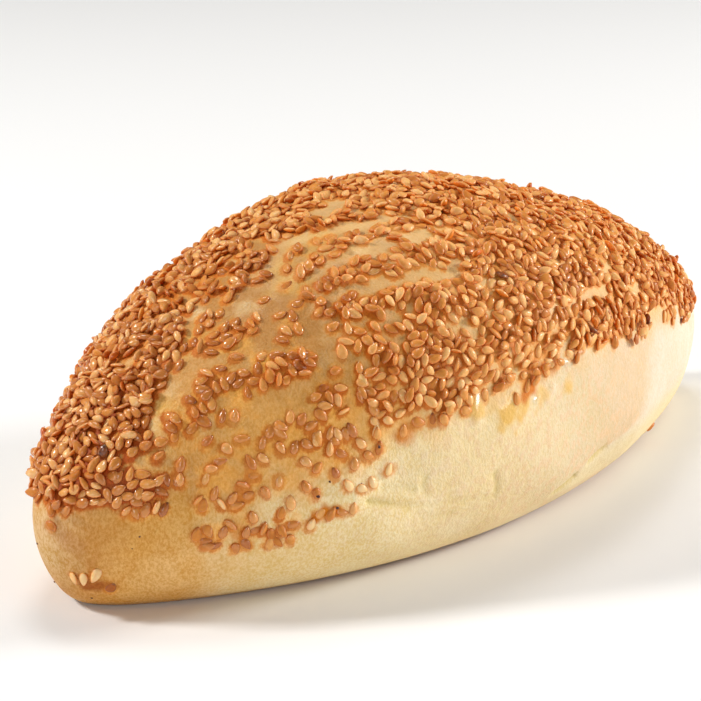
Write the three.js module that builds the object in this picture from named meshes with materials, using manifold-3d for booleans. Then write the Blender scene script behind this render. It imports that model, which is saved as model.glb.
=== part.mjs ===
// Pogaca: a boat-shaped bread roll baked in one piece, its dome covered with sesame seeds.
// Millimetres, +Z up. The flat underside lies on Z = 0, centred on the origin, and the roll runs along X.

import * as THREE from 'three';
import { mergeVertices } from 'three/addons/utils/BufferGeometryUtils.js';
import Module from 'manifold-3d';

// Bread
const LENGTH = 170;
const WIDTH = 78;
const HEIGHT = 61.4;
const RIM_HEIGHT = 17;          // the widest outline, above the underside
const PLAN_PINCH = 0.36;        // how far the ends draw in, seen from above
const RIDGE_PINCH = 0.35;       // the same, seen from the side
const FULLNESS = 0.24;          // how square the shoulders of the dome are
const WIDEST_SHIFT = 0.047;     // share of half the length from the middle to the widest section, towards -X
const BASE_LENGTH_SHARE = 0.9;  // flat underside against the widest outline
const BASE_WIDTH_SHARE = 0.66;
const UNDERCUT = 0.17;          // how flat the curve from the rim down to the underside is
const SPINE_SHARE = 0.72;       // lumps push out from a spine this share of the length

// Lumps (height above 0) and dents (below 0) left by shaping: centre, radius and height
const LUMPS = [
  { at: [-78, 10, 25], radius: 9, height: 0.9 },
  { at: [-69, 14, 33], radius: 8, height: -0.8 },
  { at: [-5, 18, 58], radius: 14, height: 0.9 },
  { at: [34, 2, 54], radius: 9, height: -0.6 },
  { at: [47, -3, 48], radius: 10, height: 0.7 },
  { at: [79, -6, 26], radius: 8, height: -0.8 },
  { at: [-30, -36, 20], radius: 8, height: -0.5 },
  { at: [-18, -38, 12], radius: 9, height: -0.8 },
  { at: [-4, -36, 8], radius: 9, height: -0.5 },
];
const LUMP_FADE = 6;            // lumps die out over this height above the underside

// Sesame seeds
const SEED_LENGTH = 2.9;
const SEED_WIDTH = 1.8;
const SEED_THICKNESS = 0.9;
const SEED_TAPER = 0.35;        // narrowing from the round end to the tip
const SEED_SPREAD = 0.12;       // sizes differ by this share
const SEED_SINK = 0.3;          // depth set into the crust
const SEED_COUNT = 225;
const SEED_GAP = 3.4;           // least distance between centres
const SEED_DRAW = 20261;        // start of the random draw
const CANDIDATES = 12;          // places tried for each seed; the one furthest from the others is kept
const LOWEST_SEED = 30;         // degrees below the rim where places are still tried

// Lower edge of the seeds as [x, height] along the front (-Y) and the back (+Y)
const FRONT_EDGE = [
  [-85, 22], [-70, 21], [-65, 13.5], [-52, 13], [-41, 22], [-30, 30],
  [0, 32], [20, 33], [38, 29], [60, 25], [85, 20],
];
const BACK_EDGE = [[-85, 22], [-55, 24], [-25, 31], [5, 29], [35, 31], [60, 26], [85, 20]];

// Bare streaks where the dough stretched between the seeds: half width in mm, and a path of
// [x, angle], the angle in degrees over the dome from the front rim (0) to the back rim (180)
const BARE_STREAKS = [
  { half: 3.0, path: [[-67, 4], [-68, 48], [-64, 66], [-58, 80], [-53, 89]] },
  { half: 2.2, path: [[-40, 36], [-40, 74]] },
  { half: 1.9, path: [[-64, 38], [-55, 41], [-46, 43], [-40, 41]] },
  { half: 1.6, path: [[-60, 63], [-42, 60], [-30, 62], [-13, 59]] },
  { half: 1.8, path: [[-53, 88], [-47, 78], [-40, 72], [-13, 71]] },
  { half: 2.0, path: [[-36, 84], [-24, 83]] },
  { half: 1.8, path: [[27, 47], [33, 46]] },
  { half: 2.4, path: [[60, 176], [62, 140], [56, 112], [48, 98]] },
  { half: 1.7, path: [[46, 112], [30, 118], [12, 116]] },
  { half: 1.7, path: [[40, 134], [22, 137], [2, 134]] },
  { half: 1.6, path: [[-10, 124], [-26, 121], [-44, 124]] },
];
const STREAK_STEPS = 10;

// Single seeds stuck low on the ends, as [x, angle], angles below the front rim negative
const STRAY_SEEDS = [[-83.4, -31], [-80.8, -26], [-84.7, 19], [55, -50]];

// Mesh steps
const SLICES = 48;
const DOME_STEPS = 16;
const UNDER_STEPS = 4;
const SEED_SIDES = 8;
const SEED_RINGS = 2;
const WELD = 1e-4;
const TANGENT_STEP = 1e-3;
const QUARTER = Math.PI / 2;

const wasm = await Module();
wasm.setup();

function mulberry(seed) {
  let state = seed;
  return () => {
    state = (state + 0x6d2b79f5) | 0;
    let mixed = Math.imul(state ^ (state >>> 15), 1 | state);
    mixed = (mixed + Math.imul(mixed ^ (mixed >>> 7), 61 | mixed)) ^ mixed;
    return ((mixed ^ (mixed >>> 14)) >>> 0) / 4294967296;
  };
}

function stepsBetween(from, to, count) {
  return Array.from({ length: count }, (_, k) => THREE.MathUtils.lerp(from, to, k / count));
}

function alongPath(points, x) {
  const next = Math.max(1, points.findIndex((point) => point[0] >= x));
  const [x0, y0] = points[next - 1];
  const [x1, y1] = points[next];
  return THREE.MathUtils.mapLinear(x, x0, x1, y0, y1);
}

// Half width and rise of the dome at a share of half the length, -1 to 1
function section(share) {
  const s = share + WIDEST_SHIFT * (1 - share * share);
  const round = Math.sqrt(Math.max(0, 1 - s * s));
  return {
    half: (WIDTH / 2) * round * (1 - PLAN_PINCH * s * s),
    rise: (HEIGHT - RIM_HEIGHT) * round * (1 - RIDGE_PINCH * s * s),
  };
}

// The smooth roll: slice from -90 to 90 degrees runs from end to end, and angle goes over the dome from the
// front rim (0) to the back rim (180 degrees), and 90 degrees further on each side down to the underside
function smoothPoint(slice, angle) {
  const share = Math.sin(slice);
  const { half, rise } = section(share);
  const over = THREE.MathUtils.clamp(angle, 0, Math.PI);
  const under = Math.abs(angle - over);
  const inset = 1 - Math.cos(under) * (1 - UNDERCUT * Math.sin(under) ** 2);
  const x = (LENGTH / 2) * share * (1 - (1 - BASE_LENGTH_SHARE) * inset);
  const arch = Math.cos(over) * (1 + FULLNESS * Math.sin(over) ** 2);
  const y = -half * arch * (1 - (1 - BASE_WIDTH_SHARE) * inset);
  const z = RIM_HEIGHT * (1 - Math.sin(under)) + rise * Math.sin(over);
  return new THREE.Vector3(x, y, z);
}

function breadPoint(slice, angle) {
  const point = smoothPoint(slice, angle);
  const outward = new THREE.Vector3(point.x * (1 - SPINE_SHARE), point.y, point.z - RIM_HEIGHT).normalize();
  const fade = THREE.MathUtils.smoothstep(point.z, 0, LUMP_FADE);
  const push = LUMPS.reduce((sum, lump) => {
    const distance = point.distanceTo(new THREE.Vector3(...lump.at));
    return sum + lump.height * Math.exp(-((distance / lump.radius) ** 2));
  }, 0);
  return point.addScaledVector(outward, push * fade);
}

function atStation(x, degrees) {
  return [Math.asin(x / (LENGTH / 2)), THREE.MathUtils.degToRad(degrees)];
}

function weld(geometry) {
  geometry.deleteAttribute('normal');
  geometry.deleteAttribute('uv');
  const merged = mergeVertices(geometry, WELD);
  const corners = Array.from(merged.index.array);
  const kept = [];
  for (let i = 0; i < corners.length; i += 3) {
    const [a, b, c] = corners.slice(i, i + 3);
    if (a !== b && b !== c && c !== a) kept.push(a, b, c);
  }
  merged.setIndex(kept);
  return merged;
}

function toSolid(geometry) {
  const mesh = new wasm.Mesh({
    numProp: 3,
    vertProperties: new Float32Array(geometry.attributes.position.array),
    triVerts: new Uint32Array(geometry.index.array),
  });
  return new wasm.Manifold(mesh);
}

function toGeometry(solid) {
  const { vertProperties, triVerts } = solid.getMesh();
  const geometry = new THREE.BufferGeometry();
  geometry.setAttribute('position', new THREE.BufferAttribute(vertProperties, 3));
  geometry.setIndex(new THREE.BufferAttribute(triVerts, 1));
  geometry.computeVertexNormals();
  return geometry;
}

// Rings from one end to the other, each running from the front edge of the underside over the dome to the
// back edge; the flat underside closes each ring
const ringAngles = [
  ...stepsBetween(-QUARTER, 0, UNDER_STEPS),
  ...stepsBetween(0, 2 * QUARTER, DOME_STEPS),
  ...stepsBetween(2 * QUARTER, 3 * QUARTER, UNDER_STEPS),
  3 * QUARTER,
];

function ringSlice(i) {
  return Math.PI * (i / SLICES - 0.5);
}

function breadGeometry() {
  const positions = [];
  for (let i = 0; i <= SLICES; i += 1) {
    ringAngles.forEach((angle) => positions.push(...breadPoint(ringSlice(i), angle)));
  }
  const index = [];
  const around = ringAngles.length;
  for (let i = 0; i < SLICES; i += 1) {
    for (let j = 0; j < around; j += 1) {
      const here = i * around + j;
      const beside = i * around + ((j + 1) % around);
      index.push(here, here + around, beside + around, here, beside + around, beside);
    }
  }
  const geometry = new THREE.BufferGeometry();
  geometry.setAttribute('position', new THREE.Float32BufferAttribute(positions, 3));
  geometry.setIndex(index);
  return weld(geometry);
}

// The point on the flat facet that spans a slice and an angle, just under the smooth crust
function facetPoint(slice, angle) {
  const i = Math.min(SLICES - 1, Math.floor((slice / Math.PI + 0.5) * SLICES));
  const j = ringAngles.findLastIndex((ringAngle) => ringAngle <= angle);
  const along = (slice - ringSlice(i)) / (ringSlice(i + 1) - ringSlice(i));
  const across = (angle - ringAngles[j]) / (ringAngles[j + 1] - ringAngles[j]);
  const here = breadPoint(ringSlice(i), ringAngles[j]);
  const opposite = breadPoint(ringSlice(i + 1), ringAngles[j + 1]);
  const third = along > across
    ? breadPoint(ringSlice(i + 1), ringAngles[j])
    : breadPoint(ringSlice(i), ringAngles[j + 1]);
  const toOpposite = Math.min(along, across);
  const toThird = Math.abs(along - across);
  return here.multiplyScalar(1 - toOpposite - toThird)
    .addScaledVector(opposite, toOpposite)
    .addScaledVector(third, toThird);
}

// A flat drop with a low ridge, its round end towards -X and its tip towards +X
function seedGeometry() {
  const geometry = new THREE.SphereGeometry(1, SEED_SIDES, SEED_RINGS).rotateX(Math.PI / 2);
  const position = geometry.attributes.position;
  for (let i = 0; i < position.count; i += 1) {
    const along = position.getX(i);
    const taper = 1 - SEED_TAPER * along;
    position.setXYZ(
      i,
      (along * SEED_LENGTH) / 2,
      (position.getY(i) * taper * SEED_WIDTH) / 2,
      (position.getZ(i) * SEED_THICKNESS) / 2,
    );
  }
  return weld(geometry);
}

const streakPoints = BARE_STREAKS.flatMap(({ half, path }) => {
  const points = [];
  for (let i = 1; i < path.length; i += 1) {
    for (let k = 0; k <= STREAK_STEPS; k += 1) {
      const share = k / STREAK_STEPS;
      const x = THREE.MathUtils.lerp(path[i - 1][0], path[i][0], share);
      const degrees = THREE.MathUtils.lerp(path[i - 1][1], path[i][1], share);
      points.push({ half, point: breadPoint(...atStation(x, degrees)) });
    }
  }
  return points;
});

function holdsSeeds(point) {
  const x = THREE.MathUtils.clamp(point.x, -LENGTH / 2, LENGTH / 2);
  const edge = alongPath(point.y < 0 ? FRONT_EDGE : BACK_EDGE, x);
  if (point.z < edge) return false;
  return streakPoints.every((streak) => streak.point.distanceTo(point) > streak.half + SEED_WIDTH / 2);
}

// Two directions along the crust and its outward normal
function crustFrame(slice, angle) {
  const point = breadPoint(slice, angle);
  const along = breadPoint(slice + TANGENT_STEP, angle).sub(point);
  const across = breadPoint(slice, angle + TANGENT_STEP).sub(point);
  const normal = new THREE.Vector3().crossVectors(along, across);
  return { point, along: along.normalize(), normal, area: normal.length() };
}

const largestArea = Math.max(...ringAngles.map((angle) => crustFrame(0, angle).area));

// A random place that holds a seed, each square millimetre of crust as likely as any other
function drawPlace(random) {
  const below = THREE.MathUtils.degToRad(LOWEST_SEED);
  for (;;) {
    const slice = Math.PI * (random() - 0.5);
    const angle = THREE.MathUtils.lerp(-below, Math.PI + below, random());
    const { point, area } = crustFrame(slice, angle);
    if (random() * largestArea < area && holdsSeeds(point)) return { slice, angle, point };
  }
}

// Seeds spread evenly over the places that hold them, each as far from the others as its tries allow
function seedPlaces(random) {
  const places = STRAY_SEEDS.map(([x, degrees]) => {
    const [slice, angle] = atStation(x, degrees);
    return { slice, angle, point: breadPoint(slice, angle) };
  });
  while (places.length < SEED_COUNT) {
    let best = null;
    let bestGap = SEED_GAP;
    for (let i = 0; i < CANDIDATES; i += 1) {
      const place = drawPlace(random);
      const gap = Math.min(...places.map((other) => other.point.distanceTo(place.point)));
      if (gap > bestGap) {
        best = place;
        bestGap = gap;
      }
    }
    if (best) places.push(best);
  }
  return places;
}

function seedSolid(shape, { slice, angle }, random) {
  const { along, normal } = crustFrame(slice, angle);
  const up = normal.normalize();
  const turn = new THREE.Quaternion().setFromAxisAngle(up, 2 * Math.PI * random());
  const length = along.addScaledVector(up, -along.dot(up)).normalize().applyQuaternion(turn);
  const side = new THREE.Vector3().crossVectors(up, length);
  const size = 1 + SEED_SPREAD * (2 * random() - 1);
  const centre = facetPoint(slice, angle).addScaledVector(up, SEED_THICKNESS / 2 - SEED_SINK);
  const matrix = new THREE.Matrix4().makeBasis(length, side, up).scale(new THREE.Vector3(size, size, size));
  return toSolid(shape.clone().applyMatrix4(matrix.setPosition(centre)));
}

function seededBread() {
  const random = mulberry(SEED_DRAW);
  const shape = seedGeometry();
  const bread = toSolid(breadGeometry());
  const seeds = seedPlaces(random).map((place) => seedSolid(shape, place, random));
  return toGeometry(seeds.reduce((solid, seed) => solid.add(seed), bread));
}

const crust = new THREE.MeshStandardMaterial({ color: 0xd9a868, roughness: 0.5, metalness: 0 });
const bun = new THREE.Mesh(seededBread(), crust);
bun.name = 'bun';

const pogaca = new THREE.Group();
pogaca.add(bun);

export default pogaca;
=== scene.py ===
import math

import bmesh
import bpy
import numpy as np
from mathutils import Matrix, Vector, kdtree


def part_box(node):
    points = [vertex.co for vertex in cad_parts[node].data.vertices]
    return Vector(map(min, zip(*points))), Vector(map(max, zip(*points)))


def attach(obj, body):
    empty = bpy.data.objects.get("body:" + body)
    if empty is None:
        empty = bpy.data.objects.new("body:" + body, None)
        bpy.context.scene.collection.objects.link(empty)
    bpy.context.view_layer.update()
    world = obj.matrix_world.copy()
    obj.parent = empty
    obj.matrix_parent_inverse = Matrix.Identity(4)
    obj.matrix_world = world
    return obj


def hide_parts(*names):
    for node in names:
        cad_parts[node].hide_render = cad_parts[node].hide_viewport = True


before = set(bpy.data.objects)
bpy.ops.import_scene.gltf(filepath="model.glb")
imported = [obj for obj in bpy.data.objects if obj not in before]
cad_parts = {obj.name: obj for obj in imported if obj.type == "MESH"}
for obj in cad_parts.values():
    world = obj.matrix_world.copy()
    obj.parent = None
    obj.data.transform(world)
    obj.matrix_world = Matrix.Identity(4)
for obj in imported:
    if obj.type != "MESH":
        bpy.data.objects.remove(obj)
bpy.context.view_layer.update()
cadLow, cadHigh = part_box("bun")
mm = 0.001


# Shader maths: a wire is a socket that Python operators can be written on
class Wire:
    def __init__(self, tree, socket):
        self.tree = tree
        self.socket = socket

    def add(self, kind, settings, values, output=0):
        node = self.tree.nodes.new(kind)
        for name, value in settings.items():
            if name == "stops":
                ramp = node.color_ramp
                while len(ramp.elements) < len(value):
                    ramp.elements.new(0.5)
                for element, (place, colour) in zip(ramp.elements, value):
                    element.position = place
                    element.color = (*colour, 1.0)
            else:
                setattr(node, name, value)
        for name, value in values.items():
            if isinstance(value, Wire):
                self.tree.links.new(value.socket, node.inputs[name])
            else:
                node.inputs[name].default_value = value
        return Wire(self.tree, node.outputs[output])

    def math(self, operation, first, second=0.0, clamp=False):
        settings = {"operation": operation, "use_clamp": clamp}
        return self.add("ShaderNodeMath", settings, {0: first, 1: second})

    def __add__(self, other):
        return self.math("ADD", self, other)

    def __radd__(self, other):
        return self.math("ADD", other, self)

    def __sub__(self, other):
        return self.math("SUBTRACT", self, other)

    def __rsub__(self, other):
        return self.math("SUBTRACT", other, self)

    def __mul__(self, other):
        return self.math("MULTIPLY", self, other)

    def __rmul__(self, other):
        return self.math("MULTIPLY", other, self)

    def clamped(self):
        return self.math("ADD", self, 0.0, clamp=True)

    def band(self, low, high):  # 0 at low, 1 at high, smooth between
        settings = {"interpolation_type": "SMOOTHSTEP"}
        return self.add("ShaderNodeMapRange", settings, {0: self, 1: low, 2: high, 3: 0.0, 4: 1.0})

    def span(self, ends):  # the same over a span in mm
        return self.band(ends[0] * mm, ends[1] * mm)

    def mix(self, first, second):  # two colours, this wire as the share of the second
        settings = {"data_type": "RGBA"}
        values = {0: self, 6: rgba(first), 7: rgba(second)}
        return self.add("ShaderNodeMix", settings, values, output=2)

    def noise(self, scale, detail, rough):  # this wire as the place
        values = {"Vector": self, "Scale": scale, "Detail": detail, "Roughness": rough}
        return self.add("ShaderNodeTexNoise", {}, values)


def rgba(colour):
    return colour if isinstance(colour, Wire) else (*colour, 1.0)


def newMaterial(name):
    material = bpy.data.materials.new(name)
    material.use_nodes = True
    tree = material.node_tree
    start = Wire(tree, None)
    place = start.add("ShaderNodeTexCoord", {}, {}, output="Object")
    return material, tree.nodes["Principled BSDF"], start, place


def connect(shader, name, wire):
    shader.id_data.links.new(wire.socket, shader.inputs[name])


def setFinish(shader, values):
    for name, value in values.items():
        shader.inputs[name].default_value = value


def attribute(start, name):
    return start.add("ShaderNodeAttribute", {"attribute_name": name}, {}, output="Fac")


# The bread: one boat-shaped skin, from end to end and over the dome from the front rim to the back rim
bread = {
    "length": cadHigh.x - cadLow.x,
    "width": cadHigh.y - cadLow.y,
    "height": cadHigh.z - 1.4 * mm,  # the solid's top carries seeds
    "rimHeight": 17 * mm,  # widest outline
    "planPinch": 0.36,
    "ridgePinch": 0.35,
    "fullness": 0.24,
    "widestShift": 0.047,
    "baseLengthShare": 0.9,
    "baseWidthShare": 0.66,
    "undercut": 0.17,
    "spineShare": 0.72,
    "lumpFade": 6 * mm,
    "lumps": [  # centre, radius and height in mm
        ((-82, 2, 27), 9, -0.6),
        ((-69, 14, 33), 8, -0.8),
        ((-5, 18, 58), 14, 0.9),
        ((34, 2, 54), 9, -0.6),
        ((47, -3, 48), 10, 0.7),
        ((79, -6, 26), 8, -0.8),
        ((-30, -36, 20), 8, -0.5),
        ((-18, -38, 12), 9, -0.8),
        ((-4, -36, 8), 9, -0.5),
    ],
    "waves": [  # wave length along x, y, z in mm, start and height in mm
        ((41, 37, 53), 0.4, 0.16),
        ((23, -29, 31), 1.9, 0.10),
        ((-17, 19, 22), 3.1, 0.06),
        ((11, 13, -12), 0.8, 0.03),
    ],
    "sliceTurns": [-90, -57.8, -20.6, 13.6, 90],  # degrees from end to end, closer where seeds lie singly
    "sliceSteps": [62, 117, 96, 92],
    "domeTurns": [-90, 0, 95, 180, 270],  # degrees from the front of the base to its back
    "domeSteps": [42, 136, 30, 42],
    "baseSteps": 7,
    "weld": 0.002 * mm,
    "sliver": 0.001 * mm,
}


def smoothBread(slices, angles):
    share = np.sin(slices)
    along = share + bread["widestShift"] * (1 - share**2)
    rounding = np.sqrt(np.clip(1 - along**2, 0, 1))
    half = bread["width"] / 2 * rounding * (1 - bread["planPinch"] * along**2)
    rise = (bread["height"] - bread["rimHeight"]) * rounding * (1 - bread["ridgePinch"] * along**2)
    over = np.clip(angles, 0, math.pi)
    under = np.abs(angles - over)
    inset = 1 - np.cos(under) * (1 - bread["undercut"] * np.sin(under) ** 2)
    arch = np.cos(over) * (1 + bread["fullness"] * np.sin(over) ** 2)
    x = bread["length"] / 2 * share * (1 - (1 - bread["baseLengthShare"]) * inset)
    y = -half * arch * (1 - (1 - bread["baseWidthShare"]) * inset)
    z = bread["rimHeight"] * (1 - np.sin(under)) + rise * np.sin(over)
    return np.stack([x, y, z], -1)


def smoothStep(values, low, high):
    share = np.clip((values - low) / (high - low), 0, 1)
    return share * share * (3 - 2 * share)


def breadSurface(slices, angles):
    points = smoothBread(np.asarray(slices, float), np.asarray(angles, float))
    outward = points * (1 - bread["spineShare"], 1, 1) - (0, 0, bread["rimHeight"])
    outward /= np.maximum(np.linalg.norm(outward, axis=-1, keepdims=True), 1e-9)
    push = np.zeros(points.shape[:-1])
    for centre, radius, height in bread["lumps"]:
        distance = np.linalg.norm(points - np.array(centre) * mm, axis=-1)
        push += height * mm * np.exp(-((distance / (radius * mm)) ** 2))
    for lengths, start, height in bread["waves"]:
        phase = (points * (2 * math.pi / (np.array(lengths) * mm))).sum(-1) + start
        push += height * mm * np.sin(phase)
    push *= smoothStep(points[..., 2], 0, bread["lumpFade"])
    return points + outward * push[..., None]


def alongBread(points, span):  # 0 to 1 over a span of x in mm
    return smoothStep(points[:, 0], span[0] * mm, span[1] * mm)


def stationOf(x, degrees):
    return np.arcsin(np.clip(np.asarray(x) * mm / (bread["length"] / 2), -1, 1)), np.radians(degrees)


def steppedTurns(turns, steps):
    pieces = zip(turns, turns[1:], steps)
    parts = [np.linspace(start, end, count, endpoint=False) for start, end, count in pieces]
    return np.radians(np.append(np.concatenate(parts), turns[-1]))


def breadMesh():
    slices = steppedTurns(bread["sliceTurns"], bread["sliceSteps"])
    angles = steppedTurns(bread["domeTurns"], bread["domeSteps"])
    skin = breadSurface(*np.meshgrid(slices, angles, indexing="ij"))
    shares = np.linspace(0, 1, bread["baseSteps"] + 1)[1:-1]
    base = skin[:, -1:] + (skin[:, :1] - skin[:, -1:]) * shares[None, :, None]
    rings = np.concatenate([skin, base], axis=1)
    rows, around = rings.shape[:2]
    here = np.arange((rows - 1) * around).reshape(rows - 1, around)
    beside = np.roll(here, -1, axis=1)
    faces = np.stack([here, here + around, beside + around, beside], -1).reshape(-1, 4)
    mesh = bpy.data.meshes.new("bread")
    mesh.from_pydata(rings.reshape(-1, 3).tolist(), [], faces.tolist())
    shape = bmesh.new()
    shape.from_mesh(mesh)
    bmesh.ops.remove_doubles(shape, verts=shape.verts, dist=bread["weld"])
    bmesh.ops.dissolve_degenerate(shape, edges=shape.edges, dist=bread["sliver"])
    shape.to_mesh(mesh)
    openEdges = sum(len(edge.link_faces) != 2 for edge in shape.edges)
    shape.free()
    mesh.shade_smooth()
    print("bread:", len(mesh.polygons), "faces,", openEdges, "open edges")
    return mesh


# Where the seeds lie: their lower edge, the bare streaks between them and the parts laid singly
sowing = {
    "frontEdge": [  # x and height in mm, along the front
        (-85, 21), (-82, 21.4), (-80.6, 22.6), (-79.3, 23.4), (-77.7, 23.7), (-76.8, 22.8), (-76, 21.4),
        (-75, 20.6), (-73.5, 21), (-70.5, 22.4), (-66, 24), (-40, 30), (-34, 32.8), (-27, 34),
        (-20, 33.4), (-16, 34.6), (-8, 35.4), (-4, 35), (0, 34.2), (6, 34.2), (11, 33.8), (14.3, 35.4),
        (20, 34), (28, 32.6), (33, 31), (37, 29), (42, 31.8), (50, 29.8), (60, 26.8), (70, 24.8),
        (85, 20),
    ],
    "backEdge": [(-85, 22), (-55, 24), (-25, 31), (5, 29), (35, 31), (60, 26), (85, 20)],
    "farThinner": 0.07,  # share of the seeds missing away from the near end
    "farSpan": (-50, -32),  # x in mm over which they thin out
    "ridgeBlend": 6,  # mm to either side of the ridge
    "edgeWander": 0.7,  # mm
    "edgeWaves": [(10, 0.7, 1), (4, 2.9, 0.6)],  # length in mm, start and share
    "edgeFade": 1.2,  # mm
    "streaks": [  # half width in mm, share sown, path of x in mm and degrees
        (1.5, 0.0, [(-75.8, 47.5), (-73.5, 46), (-70.5, 43)]),
        (1.7, 0.0, [(-15.0, 21.8), (-15.8, 17)]),
        (1.0, 0.0, [(-37.3, 44), (-37.3, 63)]),
        (
            1.45, 0.0,
            [(-38, 76), (-33, 74.5), (-28, 73), (-25, 72.3), (-21.7, 71), (-15.4, 70.3), (-10.9, 69)],
        ),
        (1.45, 0.0, [(-32, 63.5), (-27.6, 61.7), (-24.7, 60.7), (-18.4, 59), (-14.3, 56.7), (-11.2, 55)]),
        (0.8, 0.2, [(-11.2, 55.5), (-6.7, 58.3)]),
        (1.5, 0.0, [(-38, 52.5), (-34, 53.5)]),
        (1.2, 0.1, [(-32.2, 54.3), (-27.2, 52.7), (-22.5, 50.7)]),
        (1.5, 0.0, [(-38, 44.5), (-35, 43.5)]),
        (1.9, 0.0, [(-40, 81.5), (-36, 83.5), (-31, 86.5)]),
        (1.5, 0.0, [(-30.5, 88.5), (-25, 83), (-17, 80.2), (-12, 79), (-9.3, 77.7)]),
        (1.5, 0.0, [(-18, 91), (-13, 91.5)]),
        (0.9, 0.0, [(-22, 42.8), (-18, 42.2), (-13, 40.5)]),
        (1.3, 0.0, [(-65, 93), (-62, 93)]),
        (1.1, 0.0, [(-39, 93), (-37.5, 90.5)]),
        (1.2, 0.0, [(29.3, 45), (32, 48)]),
        (0.7, 0.3, [(11, 37), (16, 38.5)]),
        (0.9, 0.1, [(17, 38.5), (22, 38.5), (28, 39.5)]),
        (1.2, 0.0, [(8.2, 24.6), (8.8, 27)]),
        (0.7, 0.3, [(36, 41), (40, 39)]),
        (1.5, 0.0, [(44, 29), (47, 29)]),
        (1.5, 0.1, [(58, 142), (54, 122), (49, 108)]),
        (1.4, 0.1, [(40, 114), (27, 118), (13, 116)]),
        (1.3, 0.15, [(33, 135), (20, 137), (8, 134)]),
        (1.4, 0.1, [(-12, 124), (-26, 121), (-40, 124)]),
    ],
    "streakStep": 1.0,  # mm
    "streakWander": 0.4,  # share by which the half width varies
    "streakWaves": (9, 1.3),  # length in mm and start
    "streakFade": 0.8,  # mm
    "streakReach": (-1.2, 0.8),  # of the fade
    "thinPart": [  # x in mm and degrees: below this line seeds are laid singly
        (-79.6, 0), (-79.5, 31), (-78, 33.5), (-76.8, 41.5), (-74.6, 43.5), (-70.4, 44), (-70.3, 61),
        (-69.4, 64), (-67.8, 65.5), (-66.6, 70), (-66.4, 74.2), (-63.5, 75.5), (-60.2, 77), (-58.6, 81),
        (-57.4, 85.5), (-55.5, 89.5), (-50, 90.3), (-47, 87.5), (-44.5, 83), (-40.5, 81.5),
        (-37.8, 79.5), (-37.6, 36), (-37.6, 25), (-34.5, 19.5), (-34.4, 0),
    ],
    "thinBand": [  # x in mm, lowest and highest degrees: laid singly here too
        (-38, 42.5, 82), (-34, 42.5, 84), (-30, 44, 86), (-28, 48, 85.5), (-25, 53, 83.5), (-23, 58, 82),
        (-21, 62, 81), (-18, 67, 79), (-16, 72, 77.5), (-15, 76, 76),
    ],
}


def wobble(points, length, start):  # smooth, from about -1 to 1
    turns = points * (2 * math.pi / (length * mm))
    waves, spread = [(1.0, 0.6, -0.4), (-0.7, 1.1, 0.5), (0.5, -0.8, 1.2), (1.5, 0.9, 0.8)], 2.2
    return sum(np.sin(turns @ np.array(wave) + start * (k + 1)) for k, wave in enumerate(waves)) / spread


def streakPoints():
    points, halves, shares = [], [], []
    for half, share, path in sowing["streaks"]:
        for (x0, a0), (x1, a1) in zip(path, path[1:]):
            ends = breadSurface(*stationOf([x0, x1], [a0, a1]))
            steps = max(2, int(np.linalg.norm(ends[1] - ends[0]) / (sowing["streakStep"] * mm)))
            parts = np.linspace(0, 1, steps + 1)
            points.append(breadSurface(*stationOf(x0 + (x1 - x0) * parts, a0 + (a1 - a0) * parts)))
            halves.append(np.full(steps + 1, half * mm))
            shares.append(np.full(steps + 1, share))
    points, halves = np.concatenate(points), np.concatenate(halves)
    halves = halves * (1 + sowing["streakWander"] * wobble(points, *sowing["streakWaves"]))
    return points, halves, np.concatenate(shares)


barePoints, bareHalves, bareShares = streakPoints()


def edgeHeight(points):
    x = points[..., 0] / mm
    front = np.interp(x, *np.array(sowing["frontEdge"]).T)
    back = np.interp(x, *np.array(sowing["backEdge"]).T)
    share = smoothStep(points[..., 1] / mm, -sowing["ridgeBlend"], sowing["ridgeBlend"])
    level = points * (1, 1, 0)
    wander = sum(part * wobble(level, length, start) for length, start, part in sowing["edgeWaves"])
    return (front + (back - front) * share + sowing["edgeWander"] * wander) * mm


def streakDepth(points):  # metres inside the nearest bare streak, and its sown share
    deepest, shares = np.zeros(len(points)), np.zeros(len(points))
    batch = 4000
    for start in range(0, len(points), batch):
        part = slice(start, start + batch)
        depths = bareHalves[None] - np.linalg.norm(points[part, None] - barePoints[None], axis=-1)
        deepest[part] = depths.max(1)
        shares[part] = bareShares[depths.argmax(1)]
    return deepest, shares


def domeDegrees(points):  # the angle over the front half, found again from a place
    slices = np.arcsin(np.clip(points[:, 0] / (bread["length"] / 2), -1, 1))
    rim, ridge = [smoothBread(slices, np.full(len(points), turn)) for turn in (0, math.pi / 2)]
    fromHeight = np.arcsin(np.clip((points[:, 2] - rim[:, 2]) / np.maximum(ridge - rim, 1e-6)[:, 2], 0, 1))
    turns = np.linspace(math.pi, 0, 181)
    arch = np.cos(turns) * (1 + bread["fullness"] * np.sin(turns) ** 2)
    fromWidth = np.interp(points[:, 1] / np.minimum(rim[:, 1], -1e-6), arch, turns)
    steep = 0.9  # above this the height hardly changes with the angle
    return np.degrees(np.where(fromHeight < steep, fromHeight, fromWidth))


def thinPart(points):  # 1 where the seeds are laid one by one
    x, degrees = points[:, 0] / mm, domeDegrees(points)
    station, lowest, highest = np.array(sowing["thinBand"]).T
    thin = degrees < np.interp(x, *np.array(sowing["thinPart"]).T)
    band = (degrees > np.interp(x, station, lowest)) & (degrees < np.interp(x, station, highest))
    band &= (x > station[0]) & (x < station[-1])
    return ((thin | band) & (points[:, 1] < 0)).astype(float)


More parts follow.
